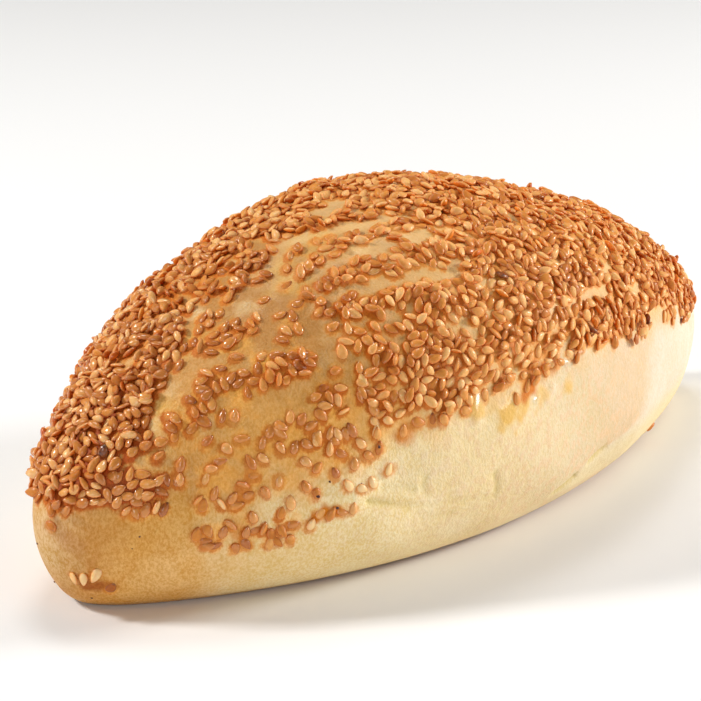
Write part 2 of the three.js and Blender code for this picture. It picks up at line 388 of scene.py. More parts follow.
def sownShare(points):
    fade, edge = sowing["streakFade"] * mm, sowing["edgeFade"] * mm
    depth, left = streakDepth(points)
    outer, inner = sowing["streakReach"]
    share = 1 - (1 - left) * smoothStep(depth, outer * fade, inner * fade)
    share *= 1 - thinPart(points)
    share *= 1 - sowing["farThinner"] * alongBread(points, sowing["farSpan"])
    return share * smoothStep(points[:, 2] - edgeHeight(points), -edge / 2, edge)


# The seeds: flat drops thrown on the dough, pushed apart a little and piled where they still overlap
seeds = {
    "length": 2.8 * mm,
    "width": 1.64 * mm,
    "thickness": 0.98 * mm,
    "taper": 0.3,
    "blunt": 0.12,
    "crown": (-0.05, 0, 0.48),  # middle of the top, in lengths and thicknesses
    "sizeSpread": 0.08,
    "shapeSpread": (0.07, 0.08, 0.12),  # length, width and thickness each vary by these shares
    "sides": 12,
    "rings": [(1.0, -0.12), (0.88, 0.46), (0.56, 0.84)],  # share of the outline, height in half thicknesses
    "outlineShare": 0.95,  # of an ellipse of the same length and width
    "cover": 1.06,  # seed outlines over sown area
    "lowestTurn": 28,  # degrees below the rim
    "tries": 6000,
    "largestArea": 0.0048,  # places are kept by area up to this
    "topShare": 0.16,  # seeds thrown on last, over the others
    "topKept": 0.10,  # share of those that stay, away from the near end
    "nearSlice": -0.7,  # the near end comes before this slice
    "discs": [(-0.8, 0.47), (0.1, 0.5), (1.0, 0.38)],  # place along the seed, radius in widths
    "discInset": 0.44,  # widths
    "closeness": 0.88,  # share of the outline that keeps its distance
    "rounds": 24,
    "pairRounds": 5,  # rounds before neighbours are looked up again
    "pairReach": 1.25,  # lengths
    "longestPush": 0.35 * mm,
    "largestSpin": 0.25,
    "endSlice": 1.49,
    "bareDepth": 0.1 * mm,  # further inside a streak only its sown share stays
    "laterSizes": (0.9, 1.08),
    "sink": 0.2 * mm,
    "farSink": 0.16 * mm,  # deeper by this away from the near end
    "farSinkSpan": (-58, -38),  # mm
    "liftSpread": 0.05 * mm,
    "nearSpan": (-48, -28),  # x in mm over which the near end's ways fade out
    "tilt": 9,  # degrees
    "nearTilt": 9,  # more of it towards the near end
    "laidTilt": 0.5,  # share of the tilt on seeds that are laid singly
    "pileTilt": 24,
    "pileHeight": 0.95,  # thicknesses
    "pileReach": 1.1,  # lengths
    "pileFrom": 0.12,  # overlap that lifts a seed
    "pileOverlap": (0.15, 0.6),  # overlap from leaning on to lying on the other
    "pileCarried": 0.8,  # share of the lower seed's lift
    "pileLift": (0.35, 0.6),  # thicknesses, leaning and more when on top
    "pileFlat": 0.8,  # share of the lean lost on top
    "onEdgeShare": 0.08,
    "nearOnEdge": 0.16,
    "onEdgeRoll": (35, 70),  # degrees
    "onEdgeLift": 0.15 * mm,
    "draw": 11,
    "placed": {  # low in the thin part: x and height in mm, turn of the tip
        "flat": [
            (-57.9, 36.2, 80), (-57.5, 28.7, 115), (-55.4, 29, -40), (-51.6, 34.2, -35),
            (-52.4, 30.5, -60), (-49.8, 35.5, 80), (-48.8, 27.6, -40), (-60.9, 22.6, 60),
            (-55.8, 23, -60), (-49.2, 23.2, 115), (-51.9, 20.7, 95), (-58, 18.8, 110), (-66.6, 16.5, 80),
            (-59.1, 16.2, 80), (-53.4, 15.5, -60), (-65, 14, 10), (-54, 13.5, -50), (-44.9, 35.2, -45),
            (-43.9, 36.6, -10), (-44.9, 38.2, 10), (-40.4, 39.1, -10), (-46.3, 31.4, 70),
            (-42.8, 31.7, 115), (-40.3, 32, 115), (-44.6, 29.4, 80), (-39.1, 29.5, 130), (-40.6, 26, 80),
            (-76, 27, 60), (-74.5, 27.5, 75), (-74.5, 26, 35), (-72.5, 26, 0), (-75.5, 24, 10),
            (-76.5, 25, 30), (-78, 24, -65), (-77, 23, 60), (-79, 23, 15), (-74.5, 23, -30),
            (-73, 24, 20), (-35.9, 34.9, 130), (-37.1, 37.9, -65), (-36.6, 39.4, -20), (-48.1, 34.9, 60),
            (-69, 32.5, 15),
        ],
        "raised": [(-81.9, 8.2, -60), (-80.9, 8.2, -90), (-79.7, 9.2, -125)],
        "sunk": [
            (-62.9, 32.6, 40), (-60.5, 31.1, -45), (-55, 31.6, 75), (-52, 33, -40), (-50.2, 30.4, 70),
            (-48.1, 30.6, -30), (-46.4, 31.2, -70), (-47, 26.4, 45), (-63.5, 23.8, 70),
            (-65.4, 21.8, 75), (-53.5, 19, 80), (-64.9, 17, -65), (-62.6, 16.5, 70), (-55, 15, -65),
            (-60.5, 13, -80), (-51.8, 13.5, -70), (-46.8, 33.7, 25), (-41.4, 31.4, -75),
            (-43.5, 30.5, -35), (-44, 24.9, 115), (-37.8, 27, -30), (-45.2, 17.4, 60), (-68.2, 26.5, 80),
            (-73, 27.5, 0), (-74, 24.5, 65), (-71, 24.5, -30), (-73.5, 21.5, 60), (-71, 26.5, 40),
            (-59, 13.8, -60), (-55.2, 13.4, 80), (-67.6, 29, 75), (-84.7, 17.9, 160), (52.6, 3.9, 45),
        ],
        "stain": [
            (-66, 36.1, 15), (-64.2, 34.6, 50), (-67, 33.4, 90), (-62, 29.1, 10), (-64.5, 26.5, 70),
            (-57.9, 32.6, 0), (-53.5, 33.4, 70), (-57.2, 26.2, -10), (-53.4, 24.9, 80),
            (-58.5, 22.8, 30), (-60.5, 21.2, 15), (-65.2, 15, 0), (-63.5, 14, 20), (-51.5, 16.5, 0),
            (-46.8, 17.8, 40), (-43, 17.4, -20), (-44, 32, 70), (-42.6, 28.2, -30), (-43, 39.4, 5),
            (-57.4, 16.4, 20), (-77.2, 5.8, 60), (-70, 26.5, -80), (-68.5, 26.5, 75), (-75, 21, -60),
        ],
        "edge": [
            (-76, 21.5, 50), (-72, 22, 70), (-70, 30.5, 40), (-63.4, 28, 0), (-59.1, 24.8, -30),
            (-66, 22.8, 50), (-62.6, 21.8, -60), (-61.5, 17.8, -40), (-56.4, 16.5, 75),
            (-42.8, 37.8, -70), (-41.6, 37.2, -80), (-41, 35.4, 20),
        ],
        "ghost": [
            (-34.2, 23.8, 70), (-37.5, 22, 110), (-39.5, 21.2, -25), (-42, 22.3, 125), (-41.2, 17.8, 80),
            (-48.5, 16, 70), (-36, 31.1, 80),
        ],
        "dark": [(-47.5, 21.6, -75), (-35.8, 28.1, 80), (-71, 21.5, 60)],
    },
    "upper": {  # higher up: x in mm, degrees and turn of the tip
        "flat": [
            (-66.1, 57.2, -45), (-66.8, 52.2, -80), (-62.3, 47, -60), (-62.9, 52.5, 80),
            (-62.4, 58, -60), (-60.1, 52.2, 65), (-59.4, 62.2, -10), (-58.1, 63.4, -75), (-58.2, 57, 80),
            (-55.6, 56.8, 20), (-53.5, 55.8, -40), (-52.8, 51.3, -25), (-49.2, 52.7, -60),
            (-50.4, 50.1, 65), (-48.3, 46.5, 30), (-45.3, 48.7, -50), (-43.8, 48, -50),
            (-55.3, 69.4, -50), (-52.9, 74.4, -20), (-52, 70.7, -15), (-49, 73, 35), (-50.7, 68.2, 10),
            (-48.2, 67, -15), (-53.5, 80.3, 45), (-51.7, 79.8, 65), (-49.2, 80, 30), (-42.7, 74.2, -5),
            (-42.8, 66.6, -10), (-41.4, 64.2, 65), (-44, 60.7, -80), (-45.5, 59, -60), (-42.1, 59.7, 70),
            (-37.2, 61.1, 20), (-38, 47, 80), (-22, 21.9, 80), (-23.2, 19.3, -75), (-18.7, 24.1, -65),
            (-13.5, 22, -95), (-6.3, 18.4, 95), (-10.5, 23, 30), (-7.8, 24.2, -20), (-3.4, 23.6, 10),
            (-1, 23.4, -40), (5.9, 24, 150), (1.8, 24, 20), (11.2, 23.4, 100), (-35, 79, 45),
            (-33, 76.5, 50), (-32.5, 75, 50), (-30, 75, 30), (-27, 77.5, -20), (-27, 74.5, -10),
            (-25, 75, 10), (-23.5, 76.5, -30), (-21, 78.5, 50), (-20, 77.5, 35), (-34, 68, 70),
            (-33, 66.5, 40), (-28.5, 69, 30), (-23, 66.5, -50), (-20.5, 67, 40), (-36, 63.5, 60),
            (-36, 59, -10), (-32, 58.5, 25), (-32.5, 55.5, -60), (-29.5, 57.5, 25), (-27, 55, 40),
            (-28.5, 52.5, 85), (-25.5, 54.5, -70), (-35, 52.5, 75), (-30.5, 49.5, -75), (-33, 46.5, -70),
            (-31, 45.5, -80), (-40.5, 81.5, -50), (-38.5, 81, -30), (-37.5, 86, -70), (-35.5, 86.5, 40),
        ],
        "sunk": [
            (-65.7, 54, -70), (-61.5, 52.5, 80), (-60, 59, -35), (-60, 55.9, 10), (-55, 53.7, 5),
            (-54.5, 49, 75), (-59.5, 45.5, 50), (-51.3, 54.6, 60), (-49.6, 57.7, 20), (-46.9, 48.7, 80),
            (-45.4, 52.7, -30), (-47.6, 55.3, -20), (-52, 48.5, 80), (-54, 72, -50), (-52.3, 67.8, 0),
            (-50.8, 73.8, 10), (-49.4, 70, -30), (-51.3, 83.5, 20), (-46.1, 82.2, 10), (-55.7, 77.3, 50),
            (-39, 67, 0), (-36.9, 55.1, 10), (-40.2, 42.6, 0), (-36, 21.2, 85), (-31, 19.5, 80),
            (-28, 20.6, -30), (-18, 19.7, -20), (-3, 20.6, 60), (-1.2, 21.6, 40), (-30, 83.5, 40),
            (-30.5, 82, 45), (-24, 80.5, 0), (-25, 78.5, 20), (-19, 75, -20), (-31.5, 68.5, -60),
            (-27.5, 67, -15), (-23.5, 69, -15), (-24, 64.5, -15), (-21.5, 63.5, -20), (-34, 59.5, 40),
            (-30.5, 61, 25), (-34, 56.5, 65), (-31.5, 56.5, -85), (-28, 56.5, 35), (-29.5, 54.5, -50),
            (-35, 46.5, 55), (-33, 44, 30),
        ],
        "stain": [
            (-56, 62.3, -40), (-43.2, 50.3, -40), (-25.2, 20, 80), (-26.5, 81.5, 70), (-30, 77, 40),
            (-38, 74.5, 0), (-36, 69, 80), (-30, 69.5, 60), (-32, 60.5, 30), (-25, 57, -30),
            (-33.5, 50, -40),
        ],
        "dark": [(-25.5, 69.5, 25)],
        "edge": [
            (-57, 56, 80), (-52.9, 62.2, -35), (-49.6, 47.5, 70), (-47.9, 52.2, -65), (-44.2, 51.8, 60),
            (-45.2, 45.8, -25), (-55.9, 73.8, 40), (-47.7, 69.2, 70), (-45.9, 70.5, 60),
            (-50.4, 81.8, 55), (-32.5, 82, 40), (-34.5, 74.5, 45), (-21, 74.5, -45), (-16.5, 74.5, 0),
            (-37, 67, -55), (-31, 66.5, 15), (-29.5, 65.5, -10), (-27, 64, -40), (-25, 66, 10),
            (-36.5, 49, -35),
        ],
    },
    "placedKinds": {  # sink in mm, roll and raised tip in degrees, tone
        "flat": (0.26, 0, 0, 0.41),
        "sunk": (0.42, 0, 0, 0.47),
        "stain": (0.58, 0, 0, 0.53),
        "edge": (0.2, 50, 0, 0.3),
        "dark": (0.34, 0, 0, 0.60),
        "raised": (-0.1, 0, 28, 0.18),
        "ghost": (0.36, 0, 0, 0.0),
    },
    "tone": (0.38, 0.05),  # 0 cream, 1 burnt: usual, and change at the near end
    "toneSpread": (0.18, 0.06),
    "brownest": (0.72, -0.1),
    "palest": 0.13,
    "middleSpans": [(-42, -26), (4, 24)],  # x in mm over which the middle begins and ends
    "middlePaintedLight": 0.04,  # painted light: paler along the middle of the front, and more at its lower edge
    "edgePaintedLight": 0.16,
    "edgeReach": (1, 8),  # mm above the lower edge
    "laidSpread": 0.14,
    "laidLimit": 0.25,
    "upperTone": 0.1,  # those higher up are browner
    "specks": [  # x, height and size in mm, 1 for the back
        (-45.1, 23.4, 0.5, 0), (-44.2, 18.6, 0.7, 0), (-39.6, 22.1, 0.4, 0), (-42.7, 22.5, 0.35, 0),
        (-74.6, 16.6, 0.4, 0), (-75.6, 14.3, 0.3, 0), (-78.7, 3, 0.45, 0), (-84.4, 12.7, 0.5, 1),
        (-81.2, 4.2, 0.5, 1), (-47.4, 21.2, 0.8, 0), (-36, 28.4, 0.65, 0),
    ],
    "speckLift": 0.1 * mm,
    "speckOnSeed": 0.6,  # mm: larger specks lie on a seed
    "speckSeedLift": 0.52 * mm,
    "speckShape": (1, 1.3, 2),  # how much narrower and flatter than a seed
    "dark": [(-0.6, 50), (16, 30), (39, 28), (-76, 65)],
    "darkTone": 0.92,
    "kinds": [  # pieces by tone
        ("paleSeeds", 0.0, 0.36),
        ("goldenSeeds", 0.36, 0.52),
        ("toastedSeeds", 0.52, 1.1),
    ],
}


def crustFrames(slices, angles):
    step = 1e-4
    points = breadSurface(slices, angles)
    alongSlice = (breadSurface(slices + step, angles) - breadSurface(slices - step, angles)) / (2 * step)
    alongAngle = (breadSurface(slices, angles + step) - breadSurface(slices, angles - step)) / (2 * step)
    normals = np.cross(alongSlice, alongAngle)
    areas = np.linalg.norm(normals, axis=-1)
    normals /= np.maximum(areas[..., None], 1e-12)
    return points, alongSlice, alongAngle, normals, areas


def unit(vectors):
    return vectors / np.maximum(np.linalg.norm(vectors, axis=-1, keepdims=True), 1e-12)


def drawPlaces(random, count):
    below = math.radians(seeds["lowestTurn"])
    slices, angles = np.zeros(0), np.zeros(0)
    while len(slices) < count:
        across = random.uniform(-math.pi / 2, math.pi / 2, seeds["tries"])
        over = random.uniform(-below, math.pi + below, seeds["tries"])
        points, _, _, _, areas = crustFrames(across, over)
        keep = random.uniform(0, seeds["largestArea"], len(across)) < areas * sownShare(points)
        slices = np.concatenate([slices, across[keep]])
        angles = np.concatenate([angles, over[keep]])
    return slices[:count], angles[:count]


def sownArea():
    end, below, steps = 1.5, 0.4, 240
    turns = np.linspace(-below, math.pi + below, steps)
    slices, angles = np.meshgrid(np.linspace(-end, end, steps), turns, indexing="ij")
    points, _, _, _, areas = crustFrames(slices.ravel(), angles.ravel())
    sliceStep, angleStep = 2 * end / (steps - 1), (math.pi + 2 * below) / (steps - 1)
    return (areas * sownShare(points)).sum() * sliceStep * angleStep


def seedAxes(alongSlice, normals, turns):
    first = unit(alongSlice)
    second = np.cross(normals, first)
    return np.cos(turns)[:, None] * first + np.sin(turns)[:, None] * second


def wallAxes(normals, turns):  # turns counted from the right of someone facing the wall
    right = unit(np.cross((0, 0, 1), normals))
    upward = np.cross(normals, right)
    return np.cos(turns)[:, None] * right + np.sin(turns)[:, None] * upward


def neighbours(points):
    squares = (points**2).sum(1)
    gaps = squares[:, None] + squares[None] - 2 * points @ points.T
    return np.argwhere(np.triu(gaps < (seeds["pairReach"] * seeds["length"]) ** 2, 1)).T


def pushApart(points, axes, normals, sizes, pairs, reach):  # shift and spin that ease the overlaps
    one, two = pairs
    places, radii = np.array(seeds["discs"]).T
    offsets = places * reach
    radii = radii * seeds["width"] * seeds["closeness"]
    push, spin = np.zeros_like(points), np.zeros(len(points))
    for offsetOne, radiusOne in zip(offsets, radii):
        for offsetTwo, radiusTwo in zip(offsets, radii):
            armOne = axes[one] * (offsetOne * sizes[one])[:, None]
            armTwo = axes[two] * (offsetTwo * sizes[two])[:, None]
            gap = points[one] + armOne - points[two] - armTwo
            distance = np.linalg.norm(gap, axis=1)
            overlap = (radiusOne * sizes[one] + radiusTwo * sizes[two] - distance).clip(0, None)
            force = gap / np.maximum(distance, 1e-9)[:, None] * (overlap * 0.5)[:, None]
            np.add.at(push, one, force)
            np.add.at(push, two, -force)
            np.add.at(spin, one, (np.cross(armOne, force) * normals[one]).sum(1))
            np.add.at(spin, two, (np.cross(armTwo, -force) * normals[two]).sum(1))
    push -= normals * (push * normals).sum(1, keepdims=True)
    length = np.linalg.norm(push, axis=1, keepdims=True)
    push *= np.minimum(1, seeds["longestPush"] / np.maximum(length, 1e-12))
    return push, (spin / reach**2).clip(-seeds["largestSpin"], seeds["largestSpin"])


def spreadSeeds(random):
    seedArea = math.pi / 4 * seeds["length"] * seeds["width"] * seeds["outlineShare"]
    count = int(seeds["cover"] * sownArea() / seedArea)
    slices, angles = drawPlaces(random, count)
    turns = random.uniform(0, 2 * math.pi, count)
    sizes = 1 + seeds["sizeSpread"] * random.normal(0, 1, count).clip(-2, 2)
    reach = seeds["length"] / 2 - seeds["width"] * seeds["discInset"]
    for step in range(seeds["rounds"]):
        points, alongSlice, alongAngle, normals, _ = crustFrames(slices, angles)
        axes = seedAxes(alongSlice, normals, turns)
        if step % seeds["pairRounds"] == 0:
            pairs = neighbours(points)
        push, spin = pushApart(points, axes, normals, sizes, pairs, reach)
        sliceSquare = (alongSlice**2).sum(1) + 1e-8
        angleSquare = (alongAngle**2).sum(1) + 1e-8
        sliceAngle = (alongSlice * alongAngle).sum(1)
        slicePush = (push * alongSlice).sum(1)
        anglePush = (push * alongAngle).sum(1)
        determinant = sliceSquare * angleSquare - sliceAngle**2
        slices = slices + (angleSquare * slicePush - sliceAngle * anglePush) / determinant
        slices = slices.clip(-seeds["endSlice"], seeds["endSlice"])
        angles = angles + (sliceSquare * anglePush - sliceAngle * slicePush) / determinant
        turns = turns + spin
    depths, shares = streakDepth(breadSurface(slices, angles))
    stays = (depths < seeds["bareDepth"]) | (random.uniform(0, 1, count) < shares)
    return slices[stays], angles[stays], turns[stays], sizes[stays]


def nearby(points):
    tree = kdtree.KDTree(len(points))
    for k, point in enumerate(points):
        tree.insert(point, k)
    tree.balance()
    return tree


def pileSeeds(points, axes, normals, sizes, order):  # how far each seed is lifted, and where it leans
    half, broad = seeds["length"] / 2, seeds["width"] / 2
    lifts = np.zeros(len(points))
    leans = np.zeros((len(points), 3))
    placed = np.zeros(len(points), bool)
    tree = nearby(points)

    def reachTowards(k, direction):
        along = abs(float(axes[k] @ direction))
        return sizes[k] * math.sqrt((half * along) ** 2 + (broad * math.sqrt(max(0.0, 1 - along**2))) ** 2)

    leaning, onTopMore = seeds["pileLift"]
    for k in order:
        for _, other, _ in tree.find_range(points[k], seeds["length"] * seeds["pileReach"]):
            if not placed[other]:
                continue
            gap = points[k] - points[other]
            gap = gap - normals[k] * (gap @ normals[k])
            distance = max(float(np.linalg.norm(gap)), 1e-6)
            direction = gap / distance
            overlap = 1 - distance / (reachTowards(k, direction) + reachTowards(other, direction))
            if overlap < seeds["pileFrom"]:
                continue
            onTop = float(smoothStep(overlap, *seeds["pileOverlap"]))
            lift = lifts[other] * seeds["pileCarried"] + seeds["thickness"] * (leaning + onTopMore * onTop)
            if lift > lifts[k]:
                lifts[k] = lift
                leans[k] = direction * (1 - seeds["pileFlat"] * onTop)
        placed[k] = True
    return lifts.clip(0, seeds["pileHeight"] * seeds["thickness"]), leans


def wallPlace(x, height):  # slice and angle of a place on the front
    x, height, rim = np.asarray(x) * mm, np.asarray(height) * mm, bread["rimHeight"]
    under = np.arcsin(np.clip(1 - height / rim, 0, 1))
    inset = 1 - np.cos(under) * (1 - bread["undercut"] * np.sin(under) ** 2)
    reach = bread["length"] / 2 * (1 - (1 - bread["baseLengthShare"]) * inset)
    slices = np.arcsin(np.clip(x / reach, -1, 1))
    ridge = smoothBread(slices, np.full_like(slices, math.pi / 2))[..., 2] - rim
    return slices, np.arcsin(np.clip((height - rim) / ridge, 0, 1)) - under


def laidSeeds(group):  # one row for each seed: place, turn, sink, roll, raised tip and tone
    kinds = seeds["placedKinds"]
    return np.array([(*place, *kinds[kind]) for kind, places in group.items() for place in places], float)


def seedTones(random, points, nearness, laidTone):
    total, strewn = len(points), len(points) - len(laidTone)
    (tone, nearTone), (spread, nearSpread) = seeds["tone"], seeds["toneSpread"]
    brownest, nearBrownest = seeds["brownest"]
    tones = tone + nearTone * nearness + (spread + nearSpread * nearness) * random.normal(0, 1, total)
    tones = np.minimum(tones, brownest + nearBrownest * nearness)
    above = (points[:, 2] - edgeHeight(points)) / mm
    begins, ends = [alongBread(points, span) for span in seeds["middleSpans"]]
    middle = begins * (1 - ends)
    lowest = 1 - smoothStep(above, *seeds["edgeReach"])
    # painted light: paler seeds along the middle of the front, most at its lower edge
    tones -= middle * (seeds["middlePaintedLight"] + seeds["edgePaintedLight"] * lowest)
    for x, degrees in seeds["dark"]:
        target = breadSurface(*stationOf(x, degrees))
        tones[np.linalg.norm(points - target, axis=1).argmin()] = seeds["darkTone"]
    tones = np.maximum(tones, seeds["palest"])
    laidRandom = np.random.default_rng(seeds["draw"] + 1)
    laidVaries = laidRandom.normal(0, seeds["laidSpread"], len(laidTone))
    tones[strewn:] = laidTone + laidVaries.clip(-seeds["laidLimit"], seeds["laidLimit"])
    # painted light on the laid seeds of the middle too
    tones[strewn:] -= middle[strewn:] * seeds["edgePaintedLight"]
    return tones.clip(0, 1)


def seedRotations(axes, normals, rolls, pitches):
    rotations = []
    for axis, normal, roll, pitch in zip(axes, normals, rolls, pitches):
        basis = Matrix((axis, np.cross(normal, axis), normal)).transposed()
        turn = Matrix.Rotation(pitch, 3, "Y") @ Matrix.Rotation(roll, 3, "X")
        rotations.append((basis @ turn).to_euler())
    return np.array(rotations)


def seedTable():
    random = np.random.default_rng(seeds["draw"])
    slices, angles, turns, sizes = spreadSeeds(random)
    packed = len(slices)
    topCount = int(packed * seeds["topShare"])
    topSlices, topAngles = drawPlaces(random, topCount)
    kept = np.where(topSlices < seeds["nearSlice"], 1, seeds["topKept"])
    stays = random.uniform(0, 1, topCount) < kept
    topSlices, topAngles = topSlices[stays], topAngles[stays]
    topCount = len(topSlices)
    upper, placed = laidSeeds(seeds["upper"]), laidSeeds(seeds["placed"])
    laidSlices, laidAngles = np.hstack([stationOf(*upper.T[:2]), wallPlace(*placed.T[:2])])
    laidTurn, laidSink, laidRoll, laidPitch, laidTone = np.vstack([upper, placed]).T[2:]
    laidTone[:len(upper)] += seeds["upperTone"]
    slices = np.concatenate([slices, topSlices, laidSlices])
    angles = np.concatenate([angles, topAngles, laidAngles])
    total, strewn, low = len(slices), packed + topCount, packed + topCount + len(upper)
    turns = np.concatenate([turns, random.uniform(0, 2 * math.pi, topCount), np.radians(laidTurn)])
    sizes = np.concatenate([sizes, random.uniform(*seeds["laterSizes"], total - packed)])
    points, alongSlice, _, normals, _ = crustFrames(slices, angles)
    axes = seedAxes(alongSlice, normals, turns)
    axes[low:] = wallAxes(normals[low:], turns[low:])
    reach = (seeds["length"] - seeds["width"]) / 2
    outline = np.concatenate([points + axes * share * reach for share in (-1, 0, 1)])
    order = np.concatenate([random.permutation(packed), np.arange(packed, total)])
    lifts, leans = pileSeeds(points, axes, normals, sizes, order)
    lifts[low:], leans[low:] = 0, 0
    sinks = seeds["sink"] + seeds["farSink"] * alongBread(points, seeds["farSinkSpan"])
    sinks[strewn:] = laidSink * mm
    lifts += seeds["thickness"] / 2 - sinks + random.normal(0, seeds["liftSpread"], total)
    nearness = 1 - alongBread(points, seeds["nearSpan"])
    tilt = np.radians(seeds["tilt"] + seeds["nearTilt"] * nearness)
    lean = tilt * random.normal(0, 1, (2, total)).clip(-2, 2)
    lean[:, strewn:] *= seeds["laidTilt"]
    onEdge = random.uniform(0, 1, total) < seeds["onEdgeShare"] + seeds["nearOnEdge"] * nearness
    onEdge[strewn:] = False
    sides = random.choice([-1, 1], onEdge.sum())
    lean[0, onEdge] += sides * np.radians(random.uniform(*seeds["onEdgeRoll"], onEdge.sum()))
    lean[0, strewn:] += np.radians(laidRoll)
    lean[1, strewn:] -= np.radians(laidPitch)
    lifts[onEdge] += seeds["onEdgeLift"]
    up = unit(normals + math.tan(math.radians(seeds["pileTilt"])) * leans)
    axes = unit(axes - up * (axes * up).sum(1, keepdims=True))
    rotations = seedRotations(axes, up, *lean)
    tones = seedTones(random, points, nearness, laidTone)
    stained = points[strewn:][laidSink > seeds["placedKinds"]["flat"][0]]
    extents = sizes[:, None] * (1 + random.normal(0, 1, (total, 3)).clip(-2, 2) * seeds["shapeSpread"])
    print("seeds laid singly:", total - strewn, "of", total)
    return outline, stained, points + normals * lifts[:, None], rotations, extents, tones


def speckTable():  # dark crumbs baked into the crust
    x, height, size, behind = np.array(seeds["specks"]).T
    slices, angles = wallPlace(x, height)
    angles = np.where(behind > 0, math.pi - angles, angles)
    points, alongSlice, _, normals, _ = crustFrames(slices, angles)
    onSeed = size > seeds["speckOnSeed"]
    points = points + normals * (seeds["speckLift"] + seeds["speckSeedLift"] * onSeed)[:, None]
    flat = np.zeros(len(x))
    rotations = seedRotations(seedAxes(alongSlice, normals, x), normals, flat, flat)
    seedSize = np.array([seeds["length"], seeds["width"], seeds["thickness"]])
    extents = size[:, None] * mm / (seedSize * seeds["speckShape"])
    return points, rotations, extents, np.ones(len(x))


def seedForm():
    turns = np.linspace(0, 2 * math.pi, seeds["sides"], endpoint=False)
    along, across = np.cos(turns), np.sin(turns)
    across = across * (1 - seeds["taper"] * along - seeds["blunt"] * along**2)
    places = [(0, 0, -0.5)]
    for share, height in seeds["rings"]:
        places += [(0.5 * share * x, 0.5 * share * y, 0.5 * height) for x, y in zip(along, across)]
    places.append(seeds["crown"])
    sides, top = seeds["sides"], len(places) - 1
    faces = []
    for k in range(sides):
        following = (k + 1) % sides
        faces.append((0, 1 + following, 1 + k))
        for ring in range(len(seeds["rings"]) - 1):
            low, high = 1 + ring * sides, 1 + (ring + 1) * sides
            faces.append((low + k, low + following, high + following, high + k))
        last = 1 + (len(seeds["rings"]) - 1) * sides
        faces.append((last + k, last + following, top))
    mesh = bpy.data.meshes.new("seedForm")
    mesh.from_pydata(places, [], faces)
    mesh.shade_smooth()
    shares = [0] + [share for share, _ in seeds["rings"] for _ in range(sides)] + [0]
    along, _, heights = np.array(places).T
    for name, values in [("alongSeed", 2 * along), ("seedRim", shares), ("seedHeight", heights)]:
        mesh.attributes.new(name, "FLOAT", "POINT").data.foreach_set("value", values)
    return bpy.data.objects.new("seedForm", mesh)


def seedTree(material):
    tree = bpy.data.node_groups.new("scatteredSeeds", "GeometryNodeTree")
    face = tree.interface
    face.new_socket("Geometry", in_out="INPUT", socket_type="NodeSocketGeometry")
    sockets = {
        name: face.new_socket(name, in_out="INPUT", socket_type=kind).identifier
        for name, kind in [
            ("Seed Form", "NodeSocketObject"),
            *[("Seed " + size, "NodeSocketFloat") for size in ("Length", "Width", "Thickness")],
        ]
    }
    face.new_socket("Geometry", in_out="OUTPUT", socket_type="NodeSocketGeometry")

    def add(kind, settings=None, values=None):
        node = tree.nodes.new(kind)
        for name, value in (settings or {}).items():
            setattr(node, name, value)
        for name, value in (values or {}).items():
            if isinstance(value, bpy.types.NodeSocket):
                tree.links.new(value, node.inputs[name])
            else:
                node.inputs[name].default_value = value
        return node.outputs

    given = add("NodeGroupInput")
    rotation = add("GeometryNodeInputNamedAttribute", {"data_type": "FLOAT_VECTOR"}, {"Name": "seedTurn"})
    size = add("GeometryNodeInputNamedAttribute", {"data_type": "FLOAT_VECTOR"}, {"Name": "seedSize"})
    extent = add("ShaderNodeCombineXYZ", {}, {
        "X": given["Seed Length"], "Y": given["Seed Width"], "Z": given["Seed Thickness"],
    })
    scale = add("ShaderNodeVectorMath", {"operation": "MULTIPLY"}, {0: extent[0], 1: size["Attribute"]})
    form = add("GeometryNodeObjectInfo", {}, {"Object": given["Seed Form"]})
    points = add("GeometryNodeMeshToPoints", {}, {"Mesh": given["Geometry"]})
    copies = add("GeometryNodeInstanceOnPoints", {}, {
        "Points": points[0],
        "Instance": form["Geometry"],
        "Rotation": rotation["Attribute"],
        "Scale": scale[0],
    })
    real = add("GeometryNodeRealizeInstances", {}, {"Geometry": copies[0]})
    smooth = add("GeometryNodeSetShadeSmooth", {}, {"Geometry": real[0]})
    dressed = add("GeometryNodeSetMaterial", {}, {"Geometry": smooth[0], "Material": material})
    add("NodeGroupOutput", {}, {"Geometry": dressed[0]})
    return tree, sockets


def scatterSeeds(name, points, rotations, extents, tones, material):
    mesh = bpy.data.meshes.new(name)
    mesh.from_pydata(points.tolist(), [], [])
    for label, kind, field, values in [
        ("seedTurn", "FLOAT_VECTOR", "vector", rotations),
        ("seedSize", "FLOAT_VECTOR", "vector", extents),
        ("seedTone", "FLOAT", "value", tones),
    ]:
        layer = mesh.attributes.new(label, kind, "POINT")
        layer.data.foreach_set(field, np.asarray(values, np.float32).ravel())
    carrier = bpy.data.objects.new(name, mesh)
    bpy.context.scene.collection.objects.link(carrier)
    form = seedForm()
    tree, sockets = seedTree(material)
    modifier = carrier.modifiers.new("seeds", "NODES")
    modifier.node_group = tree
    modifier[sockets["Seed Form"]] = form
    for size in ("length", "width", "thickness"):
        modifier[sockets["Seed " + size.capitalize()]] = seeds[size]
    posed = carrier.evaluated_get(bpy.context.evaluated_depsgraph_get())
    solid = bpy.data.meshes.new_from_object(posed)
    carrier.modifiers.clear()
    carrier.data = solid
    solid.name = name
    bpy.data.objects.remove(form)
    triangles = sum(len(face.vertices) - 2 for face in solid.polygons)
    print(name + ":", len(points), "seeds,", triangles, "triangles")
    return carrier


